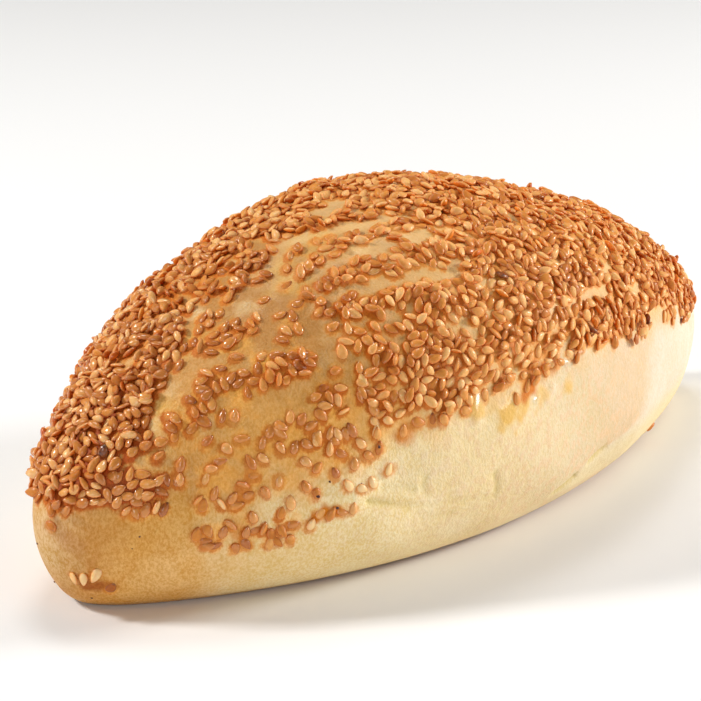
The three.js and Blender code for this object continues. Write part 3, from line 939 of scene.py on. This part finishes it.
# Finish of the bread, from the paint that its vertices carry
crust = {
    "bake": [  # x in mm and colour of the bare wall, browner at the near end
        (-86, (0.66, 0.42, 0.18)), (-81, (0.61, 0.285, 0.066)), (-75, (0.67, 0.33, 0.07)),
        (-66, (0.71, 0.375, 0.096)), (-57, (0.82, 0.59, 0.28)), (-48, (0.86, 0.66, 0.34)),
        (-36, (0.86, 0.68, 0.36)), (-6, (0.81, 0.63, 0.35)), (12, (0.71, 0.555, 0.325)),
        (30, (0.66, 0.47, 0.275)), (45, (0.66, 0.50, 0.31)), (60, (0.66, 0.53, 0.35)),
    ],
    "peach": (0.76, 0.49, 0.27),
    "cream": (0.70, 0.59, 0.43),
    "creamLow": (0.73, 0.59, 0.34),
    "wash": (0.83, 0.425, 0.11),
    "washNear": (0.64, 0.325, 0.10),
    "washHigh": (0.52, 0.24, 0.062),
    "washFar": (0.72, 0.445, 0.18),
    # pale washed crust: pale patches, and painted highlight on the upper bare streaks
    "streakPaleAndHighlight": (0.77, 0.47, 0.19),
    # amber glaze beside the seeds, dark close to them as painted shade
    "amberAndShade": (0.66, 0.24, 0.027),
    "amberAndShadeFar": (0.82, 0.46, 0.14),
    "stain": (0.86, 0.33, 0.038),
    "spill": (0.90, 0.40, 0.06),
    # painted contact shadow where the seeds touch the crust, at the near end and further on
    "contactShade": (0.54, 0.13, 0.008),
    "contactShadeFar": (0.68, 0.24, 0.03),
    # painted shade in the gaps between the piled seeds of the near end
    "gap": (0.44, 0.085, 0.006),
    "egg": (0.76, 0.45, 0.10),
    "drip": (0.60, 0.17, 0.003),
    "smear": (0.40, 0.115, 0.012),
    # painted shade in the creases of the lower front
    "crease": (0.66, 0.51, 0.17),
    "yolk": (0.82, 0.49, 0.095),
    # painted highlights: pale spots on the washed crust
    "spot": (0.80, 0.56, 0.27),
    # painted light: the lowest front wall is lightened where little light reaches it
    "low": (0.95, 0.76, 0.40),
    "pale": (0.92, 0.76, 0.48),
    "base": (0.46, 0.23, 0.07),
    "speckle": (0.16, 0.32, 0.75),  # how far the grain changes red, green and blue
    "noises": {  # scale, detail and roughness
        "broad": (60, 3, 0.55),
        "mottle": (210, 4, 0.6),
        "fibre": (700, 3, 0.6),
        "grain": (2200, 2, 0.7),
    },
    "stretch": (1, 1, 0.66),  # fibre and grain are longer upwards
    "contrast": (0.34, 0.66),
    "patchy": {  # least share of a colour, and more with the mottle
        "pale": (0.4, 0.6),
        "crease": (0.5, 0.9),
        "spot": (0.3, 0.8),
        "wash": (0.75, 0.5),
        "egg": (0.6, 1),
        "drip": (0.6, 1),
        "smear": (0.6, 1),
        "baseEdge": (0.6, 1),
    },
    "bakeSpan": (-90, 90),  # mm
    "bakeWander": 0.06,
    "peachBand": (0.45, 0.62),
    "peachShare": 0.6,
    "peachFull": 60,  # the peach fades in over this many mm before the middle
    "creamShare": (0.9, 0.5),  # of the paint, and of the broad noise elsewhere
    "creamHeights": (9, 15),  # mm
    "lowPaintedLightShare": 0.3,
    "nearWash": (-68, -50),  # mm
    "nearWashShare": 0.75,
    "streakShare": (0.5, 0.25),  # painted highlight on the upper bare streaks, and in pale patches
    "streakPatches": (0.5, 0.75),
    "yolkPatches": (0.5, 0.66),
    "yolkShare": 0.4,
    "gapUneven": (0.5, 0.15),  # mm by which patches and flecks move the edges of the amber glaze and painted shade beside the seeds
    # amber glaze with painted shade, close beside the seeds
    "amberAndShadeReach": (0.0, 0.7),  # mm from a seed
    "amberAndShadeShare": (0.15, 0.65),  # least, and more where seeds are crowded
    # painted contact shadow beside the seeds: reach in mm, least share and more where seeds are crowded
    "touchShadeReach": (-0.1, 0.35),
    "touchShadeShare": (0.3, 0.55),
    "stainUneven": (0.7, 0.2),
    "stainReach": (0.8, 2.0),
    "stainShare": 0.5,
    "spillShare": (0.5, 0.9),
    # mm from a seed over which that painted gap shade fades
    "endReach": (0.1, 0.9),
    "coarse": (0.4, 0.5, 0.7),  # strength of the grain: all over, near half, near end
    "coarseSpans": [(-45, -15), (-72, -56)],  # mm
    "coarseWash": 0.5,
    "speckleParts": (0.75, 0.3, 0.6, 0.9),  # of flecks, patches, fibre and broad noise
    "rough": 0.55,
    "eggSmooth": 0.2,
    "eggShine": 0.3,
    "washShine": 0.06,
    "shinePatches": (0.4, 0.6),
    "amberAndShadeDull": 0.8,
    "relief": (0.5, 0.9, 0.5),  # of grain, mottle and fibre
    "bump": {"Strength": 0.55, "Distance": 0.5 * mm},
    "finish": {
        "Specular IOR Level": 0.2,
        "Coat Roughness": 0.14,
        "Subsurface Weight": 0.12,
        "Subsurface Radius": (1.0, 0.55, 0.25),
        "Subsurface Scale": 1.5 * mm,
    },
    "spans": {  # mm, from none to all of a paint
        "high": (32, 50),
        "far": (-36, -4),
        # heights of the painted light low on the front wall
        "low": (-13, -3),
        "lowAlong": (-66, -54),
        # heights over which the painted highlight on bare streaks comes in
        "bareHeight": (36, 54),
        "bareDepth": (-1.5, 0.5),
        "cream": (-4, 4),
        "front": (-5, 5),
        "baseEdge": (-2, -0.3),
        "endLength": (62, 72),
        "endHeight": (18, 24),
        "climb": (-1.2, -0.2),
    },
    "crowdReach": 4.5 * mm,
    "crowdSpan": (2, 12),  # seeds within that reach
    "endCrowd": (5, 14),
    "beadSpan": (0.08, 0.25),
    "beadLeast": 0.25,
    "patchWander": 0.3,
    "patchWaves": 4,  # mm
    "patchFade": (0.35, 1.2),
    "washWander": 1.5 * mm,
    "washWaves": (12, 0.4),  # length in mm and start
    "washLine": [  # x and height in mm at which the wash is half its strength
        (-85, 26), (-66, 23), (-50, 22), (-42, 25), (-34, 28.5), (-26, 31), (-10, 32), (6, 34),
        (16, 34.5), (38, 31), (60, 27.5), (85, 22),
    ],
    "washFade": 5 * mm,
    "shadeSide": (0.3, 0.0, 0.35),  # mm; stains and painted shade lie on each seed's side away from the light
    # painted highlights on the washed crust
    "paintedHighlightSpots": [  # x in mm, degrees, radius in mm, strength
        (-51.5, 87, 2.2, 0.8), (-46, 76, 2.4, 0.7), (-63.5, 68, 2, 0.5), (-22, 72, 2, 0.5),
        (-14, 69, 2.2, 0.5), (-69, 61, 2.2, 0.5), (-28, 85.5, 2.2, 0.5), (-41, 47, 2.2, 0.4),
        (-54, 18, 2, 0.5),
    ],
    "eggPatches": [  # place, radius and strength
        ((-15.6, -37.3, 31.2), 2.4, 1.0),
        ((-8.6, -38.2, 28.7), 3.4, 1.0),
        ((-4.5, -38.0, 29.5), 2.6, 0.8),
        ((1.0, -38.0, 29.7), 2.4, 0.7),
        ((9.0, -37.4, 29.0), 1.8, 0.8),
    ],
    "beads": [  # wet ridges: x in mm and degrees
        [(-15.0, 22.3), (-15.4, 20), (-15.8, 16.6)],
        [(0.4, 16.6), (2.2, 15.8)],
        [(-1.0, 17.6), (-0.6, 16.6)],
        [(13.4, 26), (13.8, 24.6)],
        [(3.4, 18.8), (3.8, 17.4)],
        [(8.6, 24.4), (9.0, 23)],
    ],
    "beadSteps": 10,
    "beadWidth": 1.1 * mm,
    "beadRise": 0.4 * mm,
    "stains": [  # orange glaze: x in mm, degrees, radius in mm, strength
        (-73, 30, 4, 0.7), (-66, 40, 3, 0.8), (-62, 22, 3.4, 0.7), (-58, 30, 3.2, 0.8),
        (-54, 27, 3, 0.8), (-49, 29, 3.4, 0.8), (-51, 66, 2.6, 0.7), (-53.5, 72, 3, 0.7),
        (-61, 56, 3.4, 0.8), (-56, 53, 3.4, 0.8), (-50, 52, 3.2, 0.8), (-45.5, 50, 3, 0.9),
        (-64, 30, 3.2, 0.8), (-65, 18, 2.6, 0.6), (-44, 33, 3.6, 0.8), (-57, 45, 3.4, 0.7),
        (-57, 38, 3.2, 0.8), (-65.5, 53, 3, 1), (-43, 62, 2.6, 0.6), (-58, 16, 2.8, 0.6),
        (-40, 31, 3.2, 0.6), (-52, 14, 2.6, 0.5), (-64, 0, 2.4, 0.7), (-52, 0, 2.4, 0.6),
        (-60, 2, 2.4, 0.6),
    ],
    "drips": [  # amber runs along the lowest seeds
        ((-34.2, -34.1, 23.8), 1.6, 0.5),
        ((-30.8, -34.5, 29.6), 2.6, 0.6),
        ((-44.4, -31.0, 18.0), 1.3, 0.9),
        ((-46.2, -30.3, 17.8), 1.5, 1.0),
        ((-47.8, -29.4, 16.8), 1.2, 0.9),
        ((-60.0, -23.0, 15.6), 2.2, 0.5),
        ((-2.2, -37.6, 32.2), 2.4, 1.0),
        ((-3.8, -37.9, 31.0), 1.7, 1.0),
        ((-0.4, -37.4, 33.4), 2.0, 0.8),
        ((4.4, -36.9, 34.4), 2.0, 0.6),
        ((-51.2, -27.4, 38.2), 1.4, 0.6),
    ],
    "smears": [
        ((-84.6, -2.4, 17.4), 2.2, 0.35),
        ((-83.6, -4.4, 16.2), 2.2, 0.3),
        ((-82.6, -6.6, 14.8), 2.2, 0.25),
        ((-80.4, -6.2, 6.4), 1.7, 1.0),
        ((-79.0, -7.4, 6.2), 1.7, 1.0),
        ((-77.2, -9.0, 6.2), 1.5, 0.9),
        ((-80.0, -7.4, 11.6), 1.8, 0.2),
    ],
    "pales": [
        ((-26.0, -36.3, 13.6), 4.0, 0.6),
        ((-18.0, -35.2, 7.4), 4.5, 0.6),
        ((-33.1, -34.3, 11.3), 5.0, 0.7),
    ],
    "rimLine": [  # height in mm, and x in mm beyond which the wall is cream
        (0, 65), (6.7, 6), (11.2, 18), (12.1, 23), (13.2, 32), (14.3, 37), (18, 39), (28, 42), (34, 46),
    ],
    "creases": [  # along the lower front
        [(-38.1, -33.4, 18.3), (-32.9, -35.0, 16.6), (-27.9, -36.1, 14.8), (-22.1, -37.2, 14.2),
         (-15.0, -38.0, 13.1), (-10.8, -38.1, 12.3), (-10.8, -38.6, 14.9), (-11.6, -38.7, 17.3)],
        [(-28.6, -35.8, 13.8), (-26.4, -36.0, 12.4), (-23.4, -36.2, 11.3), (-20.5, -36.6, 11.4)],
        [(-35.6, -34.3, 20.2), (-32.0, -35.2, 20.0), (-29.4, -35.8, 18.6)],
        [(-26.6, -35.8, 11.0), (-24.4, -35.8, 9.6), (-21.0, -36.2, 9.4)],
        [(-27.2, -36.4, 20.4), (-27.6, -36.3, 18.2), (-26.5, -36.6, 16.7)],
        [(8.0, -35.4, 7.0), (13.0, -35.9, 9.0)],
        [(17.5, -35.8, 10.8), (19.5, -35.6, 11.6), (22.0, -35.2, 12.0)],
    ],
    "creaseSteps": 12,
    "creaseWidth": 0.7 * mm,
    "creaseDepth": 0.8 * mm,
    "glazeRise": 0.12 * mm,  # the wash climbs the seeds by this much
    "glazeEnd": 0.85,  # share of the rise lost on the near end
    "eggRise": 0.1 * mm,
}


def paintPatches(places, patches):
    amount = np.zeros(len(places))
    for centre, radius, strength in patches:
        distance = np.linalg.norm(places - np.array(centre) * mm, axis=1) / (radius * mm)
        distance = distance * (1 + crust["patchWander"] * wobble(places, crust["patchWaves"], radius))
        amount = np.maximum(amount, strength * (1 - smoothStep(distance, *crust["patchFade"])))
    return amount


def creasePoints():
    points = []
    for path in crust["creases"]:
        for start, end in zip(path, path[1:]):
            parts = np.linspace(0, 1, crust["creaseSteps"])[:, None]
            points.append(np.array(start) * (1 - parts) + np.array(end) * parts)
    return np.concatenate(points) * mm


def beadSwell(places):  # 1 on the lower end of a wet bead
    points, swells = [], []
    for path in crust["beads"]:
        for k, ((x0, a0), (x1, a1)) in enumerate(zip(path, path[1:])):
            parts = np.linspace(0, 1, crust["beadSteps"])
            points.append(breadSurface(*stationOf(x0 + (x1 - x0) * parts, a0 + (a1 - a0) * parts)))
            swells.append((parts + k) / (len(path) - 1))
    tree, swells = nearby(np.concatenate(points)), np.concatenate(swells)
    found = [tree.find(place)[1:] for place in places]
    shares = [math.exp(-((gap / crust["beadWidth"]) ** 2)) for _, gap in found]
    least = crust["beadLeast"]
    return np.array([(least + (1 - least) * swells[k]) * share for (k, _), share in zip(found, shares)])


def nearestGaps(places, others):
    tree = nearby(others)
    return np.array([tree.find(place)[2] for place in places])


def vertexField(mesh, name):
    values = np.zeros(len(mesh.vertices) * 3)
    mesh.vertices.foreach_get(name, values)
    return values.reshape(-1, 3)


def overSpan(values, name):
    low, high = crust["spans"][name]
    return smoothStep(values, low * mm, high * mm)


def glazeBread(mesh, seedPoints, stained):
    places, normals = vertexField(mesh, "co"), vertexField(mesh, "normal")
    x, y, z = places.T
    tree = nearby(seedPoints)
    # places moved towards the light, so stains and painted shade fall on each seed's shaded side
    towardsLight = places + np.array(crust["shadeSide"]) * mm
    gaps = nearestGaps(places, seedPoints) - seeds["width"] / 2
    crowd = np.array([len(tree.find_range(place, crust["crowdReach"])) / 3 for place in places])
    # the creases, carved in and carrying painted shade
    crease = np.exp(-((nearestGaps(places, creasePoints()) / crust["creaseWidth"]) ** 2))
    bead = beadSwell(places)
    # orange glaze patches, and spots of painted highlight
    spills, highlightSpots = [
        [(breadSurface(*stationOf(at, degrees)) / mm, *rest) for at, degrees, *rest in crust[group]]
        for group in ("stains", "paintedHighlightSpots")
    ]
    washLine = np.interp(x / mm, *np.array(crust["washLine"]).T) * mm
    blend = sowing["ridgeBlend"] * mm
    washLine = washLine + (edgeHeight(places) - washLine) * smoothStep(y, -blend, blend)
    height = z - washLine + crust["washWander"] * wobble(places, *crust["washWaves"])
    endCap = overSpan(-x, "endLength") * overSpan(z, "endHeight")
    rimLine = np.interp(z / mm, *np.array(crust["rimLine"]).T) * mm
    egg = paintPatches(places, crust["eggPatches"])
    paint = {
        "wash": smoothStep(height, -crust["washFade"], crust["washFade"]),
        "high": overSpan(z, "high"),
        "far": overSpan(x, "far"),
        "seedGap": (nearestGaps(towardsLight, seedPoints) - seeds["width"] / 2) / mm,
        "stainGap": nearestGaps(towardsLight, stained) / mm,
        "spill": paintPatches(places, spills),
        "spot": paintPatches(places, highlightSpots),
        # painted light on the lowest front wall
        "low": overSpan(-z, "low") * overSpan(x, "lowAlong"),
        "crowd": smoothStep(crowd, *crust["crowdSpan"]),
        # where the near end's seeds crowd, for the painted shade in their gaps
        "endCap": smoothStep(crowd, *crust["endCrowd"]) * endCap,
        # painted highlight on the upper bare streaks
        "bare": overSpan(streakDepth(places)[0], "bareDepth") * overSpan(z, "bareHeight"),
        "cream": overSpan(x - rimLine, "cream") * overSpan(-y, "front"),
        "pale": paintPatches(places, crust["pales"]),
        "baseEdge": overSpan(-z, "baseEdge"),
        "egg": egg,
        "bead": smoothStep(bead, *crust["beadSpan"]),
        "drip": paintPatches(places, crust["drips"]),
        "smear": paintPatches(places, crust["smears"]),
        "crease": crease,
    }
    for name, values in paint.items():
        layer = mesh.attributes.new(name, "FLOAT", "POINT")
        layer.data.foreach_set("value", values.astype(np.float32))
    rise = crust["glazeRise"] * overSpan(-gaps, "climb") * (1 - crust["glazeEnd"] * endCap)
    rise += crust["eggRise"] * egg + crust["beadRise"] * bead - crust["creaseDepth"] * crease
    mesh.vertices.foreach_set("co", (places + normals * rise[:, None]).ravel())
    mesh.update()
    print("crust painted:", len(paint), "fields")
    return list(paint)


def patchy(paint, name, mottle):  # paint that comes out stronger where the mottle is high
    least, more = crust["patchy"][name]
    return (paint[name] * (least + mottle * more)).clamped()


def besideSeeds(gap, crowd, reach, shares):
    least, more = shares
    return (1 - gap.band(*reach)) * (least + crowd * more)


def sideColour(paint, x, z, broad, mottle, fibre):  # the bare wall
    low, high = crust["bakeSpan"]
    bake = x * (1 / ((high - low) * mm)) + -low / (high - low) + (broad - 0.5) * crust["bakeWander"]
    stops = [((at - low) / (high - low), colour) for at, colour in crust["bake"]]
    side = bake.add("ShaderNodeValToRGB", {"stops": stops}, {"Fac": bake})
    peachAlong = (x * (1 / (crust["peachFull"] * mm)) + 1.0).clamped()
    side = (fibre.band(*crust["peachBand"]) * crust["peachShare"] * peachAlong).mix(side, crust["peach"])
    painted, elsewhere = crust["creamShare"]
    cream = paint["cream"] * painted + (broad - 0.5) * elsewhere * (1 - paint["cream"])
    creamColour = z.span(crust["creamHeights"]).mix(crust["creamLow"], crust["cream"])
    side = cream.clamped().mix(side, creamColour)
    # painted light: lighter low on the front wall
    side = (paint["low"] * crust["lowPaintedLightShare"]).mix(side, crust["low"])
    # pale patches, and painted shade in the creases
    for name in ("pale", "crease"):
        side = patchy(paint, name, mottle).mix(side, crust[name])
    return side


def streakColour(paint, x, broad, mottle):  # the washed crust between the seeds
    streak = paint["high"].mix(crust["wash"], crust["washHigh"])
    near = (1 - x.span(crust["nearWash"])) * crust["nearWashShare"]
    streak = near.mix(streak, crust["washNear"])
    streak = paint["far"].mix(streak, crust["washFar"])
    onBare, inPatches = crust["streakShare"]
    # painted highlight on the upper bare streaks, plus pale patches
    light = paint["bare"] * onBare + mottle.band(*crust["streakPatches"]) * inPatches
    streak = light.clamped().mix(streak, crust["streakPaleAndHighlight"])
    yolk = broad.band(*crust["yolkPatches"]) * crust["yolkShare"] * (1 - paint["far"])
    streak = yolk.mix(streak, crust["yolk"])
    # spots of painted highlight on the washed crust
    return patchy(paint, "spot", mottle).mix(streak, crust["spot"])


def stainsAndShadeBesideSeeds(colour, paint, patches, flecks):  # amber glaze with painted shade, orange stains, painted contact shadow and dark painted gap shade beside the seeds
    far, crowd = paint["far"], paint["crowd"]
    byPatches, byFlecks = crust["gapUneven"]
    gap = paint["seedGap"] + patches * byPatches + flecks * byFlecks
    # amber glaze, with painted shade on the seeds' shaded side
    amberAndShade = besideSeeds(gap, crowd, crust["amberAndShadeReach"], crust["amberAndShadeShare"])
    colour = amberAndShade.mix(colour, far.mix(crust["amberAndShade"], crust["amberAndShadeFar"]))
    byPatches, byFlecks = crust["stainUneven"]
    stained = 1 - (paint["stainGap"] + patches * byPatches + flecks * byFlecks).band(*crust["stainReach"])
    colour = (stained * crust["stainShare"]).mix(colour, crust["stain"])
    least, more = crust["spillShare"]
    colour = (paint["spill"] * (least + patches * more)).clamped().mix(colour, crust["spill"])
    # painted contact shadow around the seeds, stronger where they crowd
    touchingShade = besideSeeds(gap, crowd, crust["touchShadeReach"], crust["touchShadeShare"])
    colour = touchingShade.mix(colour, far.mix(crust["contactShade"], crust["contactShadeFar"]))
    # painted shade: dark gaps between the piled seeds on the near end
    colour = (paint["endCap"] * (1 - gap.band(*crust["endReach"]))).mix(colour, crust["gap"])
    return colour, amberAndShade


def breadMaterial(fields):
    material, shader, start, place = newMaterial("crust")
    paint = {name: attribute(start, name) for name in fields}
    wash, egg = paint["wash"], paint["egg"]
    upright = place.add("ShaderNodeVectorMath", {"operation": "MULTIPLY"}, {0: place, 1: crust["stretch"]})
    broad, mottle = [place.noise(*crust["noises"][name]) for name in ("broad", "mottle")]
    fibre, grain = [upright.noise(*crust["noises"][name]) for name in ("fibre", "grain")]
    flecks, patches = [noise.band(*crust["contrast"]) - 0.5 for noise in (grain, mottle)]
    x, z = [place.add("ShaderNodeSeparateXYZ", {}, {0: place}, output=axis) for axis in "XZ"]
    side = sideColour(paint, x, z, broad, mottle, fibre)
    streak = streakColour(paint, x, broad, mottle)
    colour = patchy(paint, "wash", mottle).mix(side, streak)
    colour, amberAndShade = stainsAndShadeBesideSeeds(colour, paint, patches, flecks)
    for name, tint in [("egg", "egg"), ("drip", "drip"), ("smear", "smear"), ("baseEdge", "base")]:
        colour = patchy(paint, name, mottle).mix(colour, crust[tint])
    allOver, nearHalf, nearEnd = crust["coarse"]
    halfAlong, endAlong = [1 - x.span(ends) for ends in crust["coarseSpans"]]
    coarse = allOver + nearHalf * halfAlong + nearEnd * endAlong * (1 - wash * crust["coarseWash"])
    parts = zip(crust["speckleParts"], (flecks, patches, fibre - 0.5, broad - 0.5))
    first, *others = [noise * share for share, noise in parts]
    speckle = sum(others, first) * coarse
    tint = [1.0 + speckle * strength for strength in crust["speckle"]]
    tint = start.add("ShaderNodeCombineXYZ", {}, dict(enumerate(tint)))
    colour = colour.add("ShaderNodeVectorMath", {"operation": "MULTIPLY"}, {0: colour, 1: tint})
    connect(shader, "Base Color", colour)
    connect(shader, "Roughness", crust["rough"] - crust["eggSmooth"] * egg)
    wet = (paint["bead"] + egg * crust["eggShine"]).clamped()
    shine = (wash * crust["washShine"] * mottle.band(*crust["shinePatches"]) + wet).clamped()
    connect(shader, "Coat Weight", shine * (1 - crust["amberAndShadeDull"] * amberAndShade * (1 - wet)))
    ofGrain, ofMottle, ofFibre = crust["relief"]
    height = grain * ofGrain + mottle * ofMottle + fibre * ofFibre
    connect(shader, "Normal", start.add("ShaderNodeBump", {}, {**crust["bump"], "Height": height}))
    setFinish(shader, crust["finish"])
    return material


# Finish of the seeds
sesame = {
    "cream": (0.90, 0.56, 0.20),
    "pale": (0.86, 0.42, 0.105),
    "golden": (0.68, 0.235, 0.031),
    "toasted": (0.44, 0.11, 0.011),
    "burnt": (0.08, 0.022, 0.012),
    # paler rim: the hull's own edge, and partly a painted highlight
    "rim": (0.95, 0.62, 0.26),
    "side": (0.92, 0.54, 0.20),  # painted shade on each seed's flank and painted highlight on its top: how far each changes its colour
    "top": (1.0, 1.09, 1.45),
    "shadeToHighlightHeights": (-0.12, 0.4),  # thicknesses, from painted shade to painted highlight
    "tones": [(0.0, "cream"), (0.14, "pale"), (0.42, "golden"), (0.78, "toasted"), (1.0, "burnt")],
    "mottle": (1100, 3, 0.6),  # scale, detail and roughness
    "mottleTone": 0.4,
    "tip": (0.5, 1.0),  # half lengths from the middle
    "tipTone": 0.2,
    "rimBand": (0.7, 1.0),
    "rimShare": (0.5, 0.4),  # on pale seeds, and less with the tone
    "rough": (0.34, 0.25),
    "bump": {"Strength": 0.25, "Distance": 0.15 * mm},
    "glossNoise": (160, 2, 0.5),
    "glossPatches": (0.36, 0.56),
    "glossSpan": (-50, -20),  # mm; duller beyond
    "glossLoss": 0.8,
    "leastGloss": 0.06,
    "finish": {
        "Specular IOR Level": 0.14,
        "Coat Roughness": 0.15,
        "Subsurface Weight": 0.12,
        "Subsurface Radius": (1.0, 0.35, 0.1),
        "Subsurface Scale": 0.7 * mm,
    },
}


def sesameMaterial(name):
    material, shader, start, place = newMaterial(name)
    tone, along, rim = [attribute(start, field) for field in ("seedTone", "alongSeed", "seedRim")]
    mottle = place.noise(*sesame["mottle"])
    tip = along.band(*sesame["tip"]) * sesame["tipTone"]
    value = (tone + (mottle - 0.5) * sesame["mottleTone"] + tip).clamped()
    stops = [(at, sesame[shade]) for at, shade in sesame["tones"]]
    colour = value.add("ShaderNodeValToRGB", {"stops": stops}, {"Fac": value})
    most, less = sesame["rimShare"]
    # paler rim on each seed, partly a painted highlight
    colour = (rim.band(*sesame["rimBand"]) * (most - tone * less)).clamped().mix(colour, sesame["rim"])
    # painted shade on each seed's flank, painted highlight on its top
    top = attribute(start, "seedHeight").band(*sesame["shadeToHighlightHeights"])
    tint = [low + top * (high - low) for low, high in zip(sesame["side"], sesame["top"])]
    tint = start.add("ShaderNodeCombineXYZ", {}, dict(enumerate(tint)))
    colour = colour.add("ShaderNodeVectorMath", {"operation": "MULTIPLY"}, {0: colour, 1: tint})
    connect(shader, "Base Color", colour)
    least, more = sesame["rough"]
    connect(shader, "Roughness", least + mottle * more)
    connect(shader, "Normal", start.add("ShaderNodeBump", {}, {**sesame["bump"], "Height": mottle}))
    x = place.add("ShaderNodeSeparateXYZ", {}, {0: place}, output="X")
    patches = place.noise(*sesame["glossNoise"]).band(*sesame["glossPatches"])
    gloss = patches * (1.0 - sesame["glossLoss"] * x.span(sesame["glossSpan"])) + sesame["leastGloss"]
    connect(shader, "Coat Weight", gloss)
    setFinish(shader, sesame["finish"])
    return material


# Camera, light and floor
view = {
    "azimuth": -42.5,
    "elevation": 20.4,
    "distance": 470 * mm,
    "aimRight": -9.05 * mm,
    "aimUp": -2.36 * mm,
    "aimHeight": 30.7 * mm,
    "lens": 124.3,
    "nearest": 10 * mm,
}


def viewAxes(azimuth, elevation):
    turn, tilt = math.radians(azimuth), math.radians(elevation)
    back = Vector((math.sin(turn) * math.cos(tilt), -math.cos(turn) * math.cos(tilt), math.sin(tilt)))
    right = Vector((math.cos(turn), math.sin(turn), 0))
    return right, back.cross(right), back


def addCamera():
    right, up, back = viewAxes(view["azimuth"], view["elevation"])
    aim = Vector((0, 0, view["aimHeight"])) + right * view["aimRight"] + up * view["aimUp"]
    camera = bpy.data.objects.new("camera", bpy.data.cameras.new("camera"))
    turn = Matrix((right, up, back)).transposed().to_4x4()
    camera.matrix_world = Matrix.Translation(aim + back * view["distance"]) @ turn
    camera.data.lens = view["lens"]
    camera.data.clip_start = view["nearest"]
    bpy.context.scene.collection.objects.link(camera)
    bpy.context.scene.camera = camera
    print("camera:", view["lens"], "mm lens")


studio = {
    "lights": [  # name, azimuth, elevation, distance, size in metres, watts
        ("rightBox", 62, 18, 0.9, 0.2, 7.4),
        ("frontBox", -60, 20, 0.9, 0.35, 1.8),
        ("leftBox", -130, 38, 0.9, 0.13, 5.6),
        ("topBox", 150, 70, 0.9, 0.25, 2.35),
        ("glintBox", 28, 2, 0.9, 0.16, 1.6),
    ],
    "ambient": 0.15,
    "floorSize": 3.0,
    "floorColour": (0.88, 0.87, 0.85),
    "floorRough": 0.8,
}


def addStudio():
    for name, azimuth, elevation, distance, size, watts in studio["lights"]:
        _, _, back = viewAxes(azimuth, elevation)
        light = bpy.data.lights.new(name, "AREA")
        light.size = size
        light.energy = watts
        lamp = bpy.data.objects.new(name, light)
        lamp.location = Vector((0, 0, view["aimHeight"])) + back * distance
        lamp.rotation_euler = back.to_track_quat("Z", "Y").to_euler()
        bpy.context.scene.collection.objects.link(lamp)
    world = bpy.data.worlds.new("studio")
    world.use_nodes = True
    white = (1, 1, 1, 1)
    setFinish(world.node_tree.nodes["Background"], {"Color": white, "Strength": studio["ambient"]})
    bpy.context.scene.world = world
    bpy.context.scene.view_settings.view_transform = "Standard"
    half = studio["floorSize"] / 2
    mesh = bpy.data.meshes.new("floor")
    corners = [(-half, -half, 0), (half, -half, 0), (half, half, 0), (-half, half, 0)]
    mesh.from_pydata(corners, [], [(0, 1, 2, 3)])
    floor = bpy.data.objects.new("floor", mesh)
    material, shader, _, _ = newMaterial("paleFloor")
    setFinish(shader, {"Base Color": (*studio["floorColour"], 1), "Roughness": studio["floorRough"]})
    mesh.materials.append(material)
    bpy.context.scene.collection.objects.link(floor)
    print("studio:", len(studio["lights"]), "lights and a floor")


addCamera()
addStudio()

seedPoints, stained, points, rotations, extents, tones = seedTable()
loaf = bpy.data.objects.new("bread", breadMesh())
bpy.context.scene.collection.objects.link(loaf)
paintFields = glazeBread(loaf.data, seedPoints, stained)
loaf.data.materials.append(breadMaterial(paintFields))
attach(loaf, "root")
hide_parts("bun")

scattered = []
for name, low, high in seeds["kinds"]:
    chosen = (tones >= low) & (tones < high)
    scattered.append((name, points[chosen], rotations[chosen], extents[chosen], tones[chosen]))
scattered.append(("specks", *speckTable()))
for name, *table in scattered:
    piece = scatterSeeds(name, *table, sesameMaterial(name))
    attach(piece, "root")
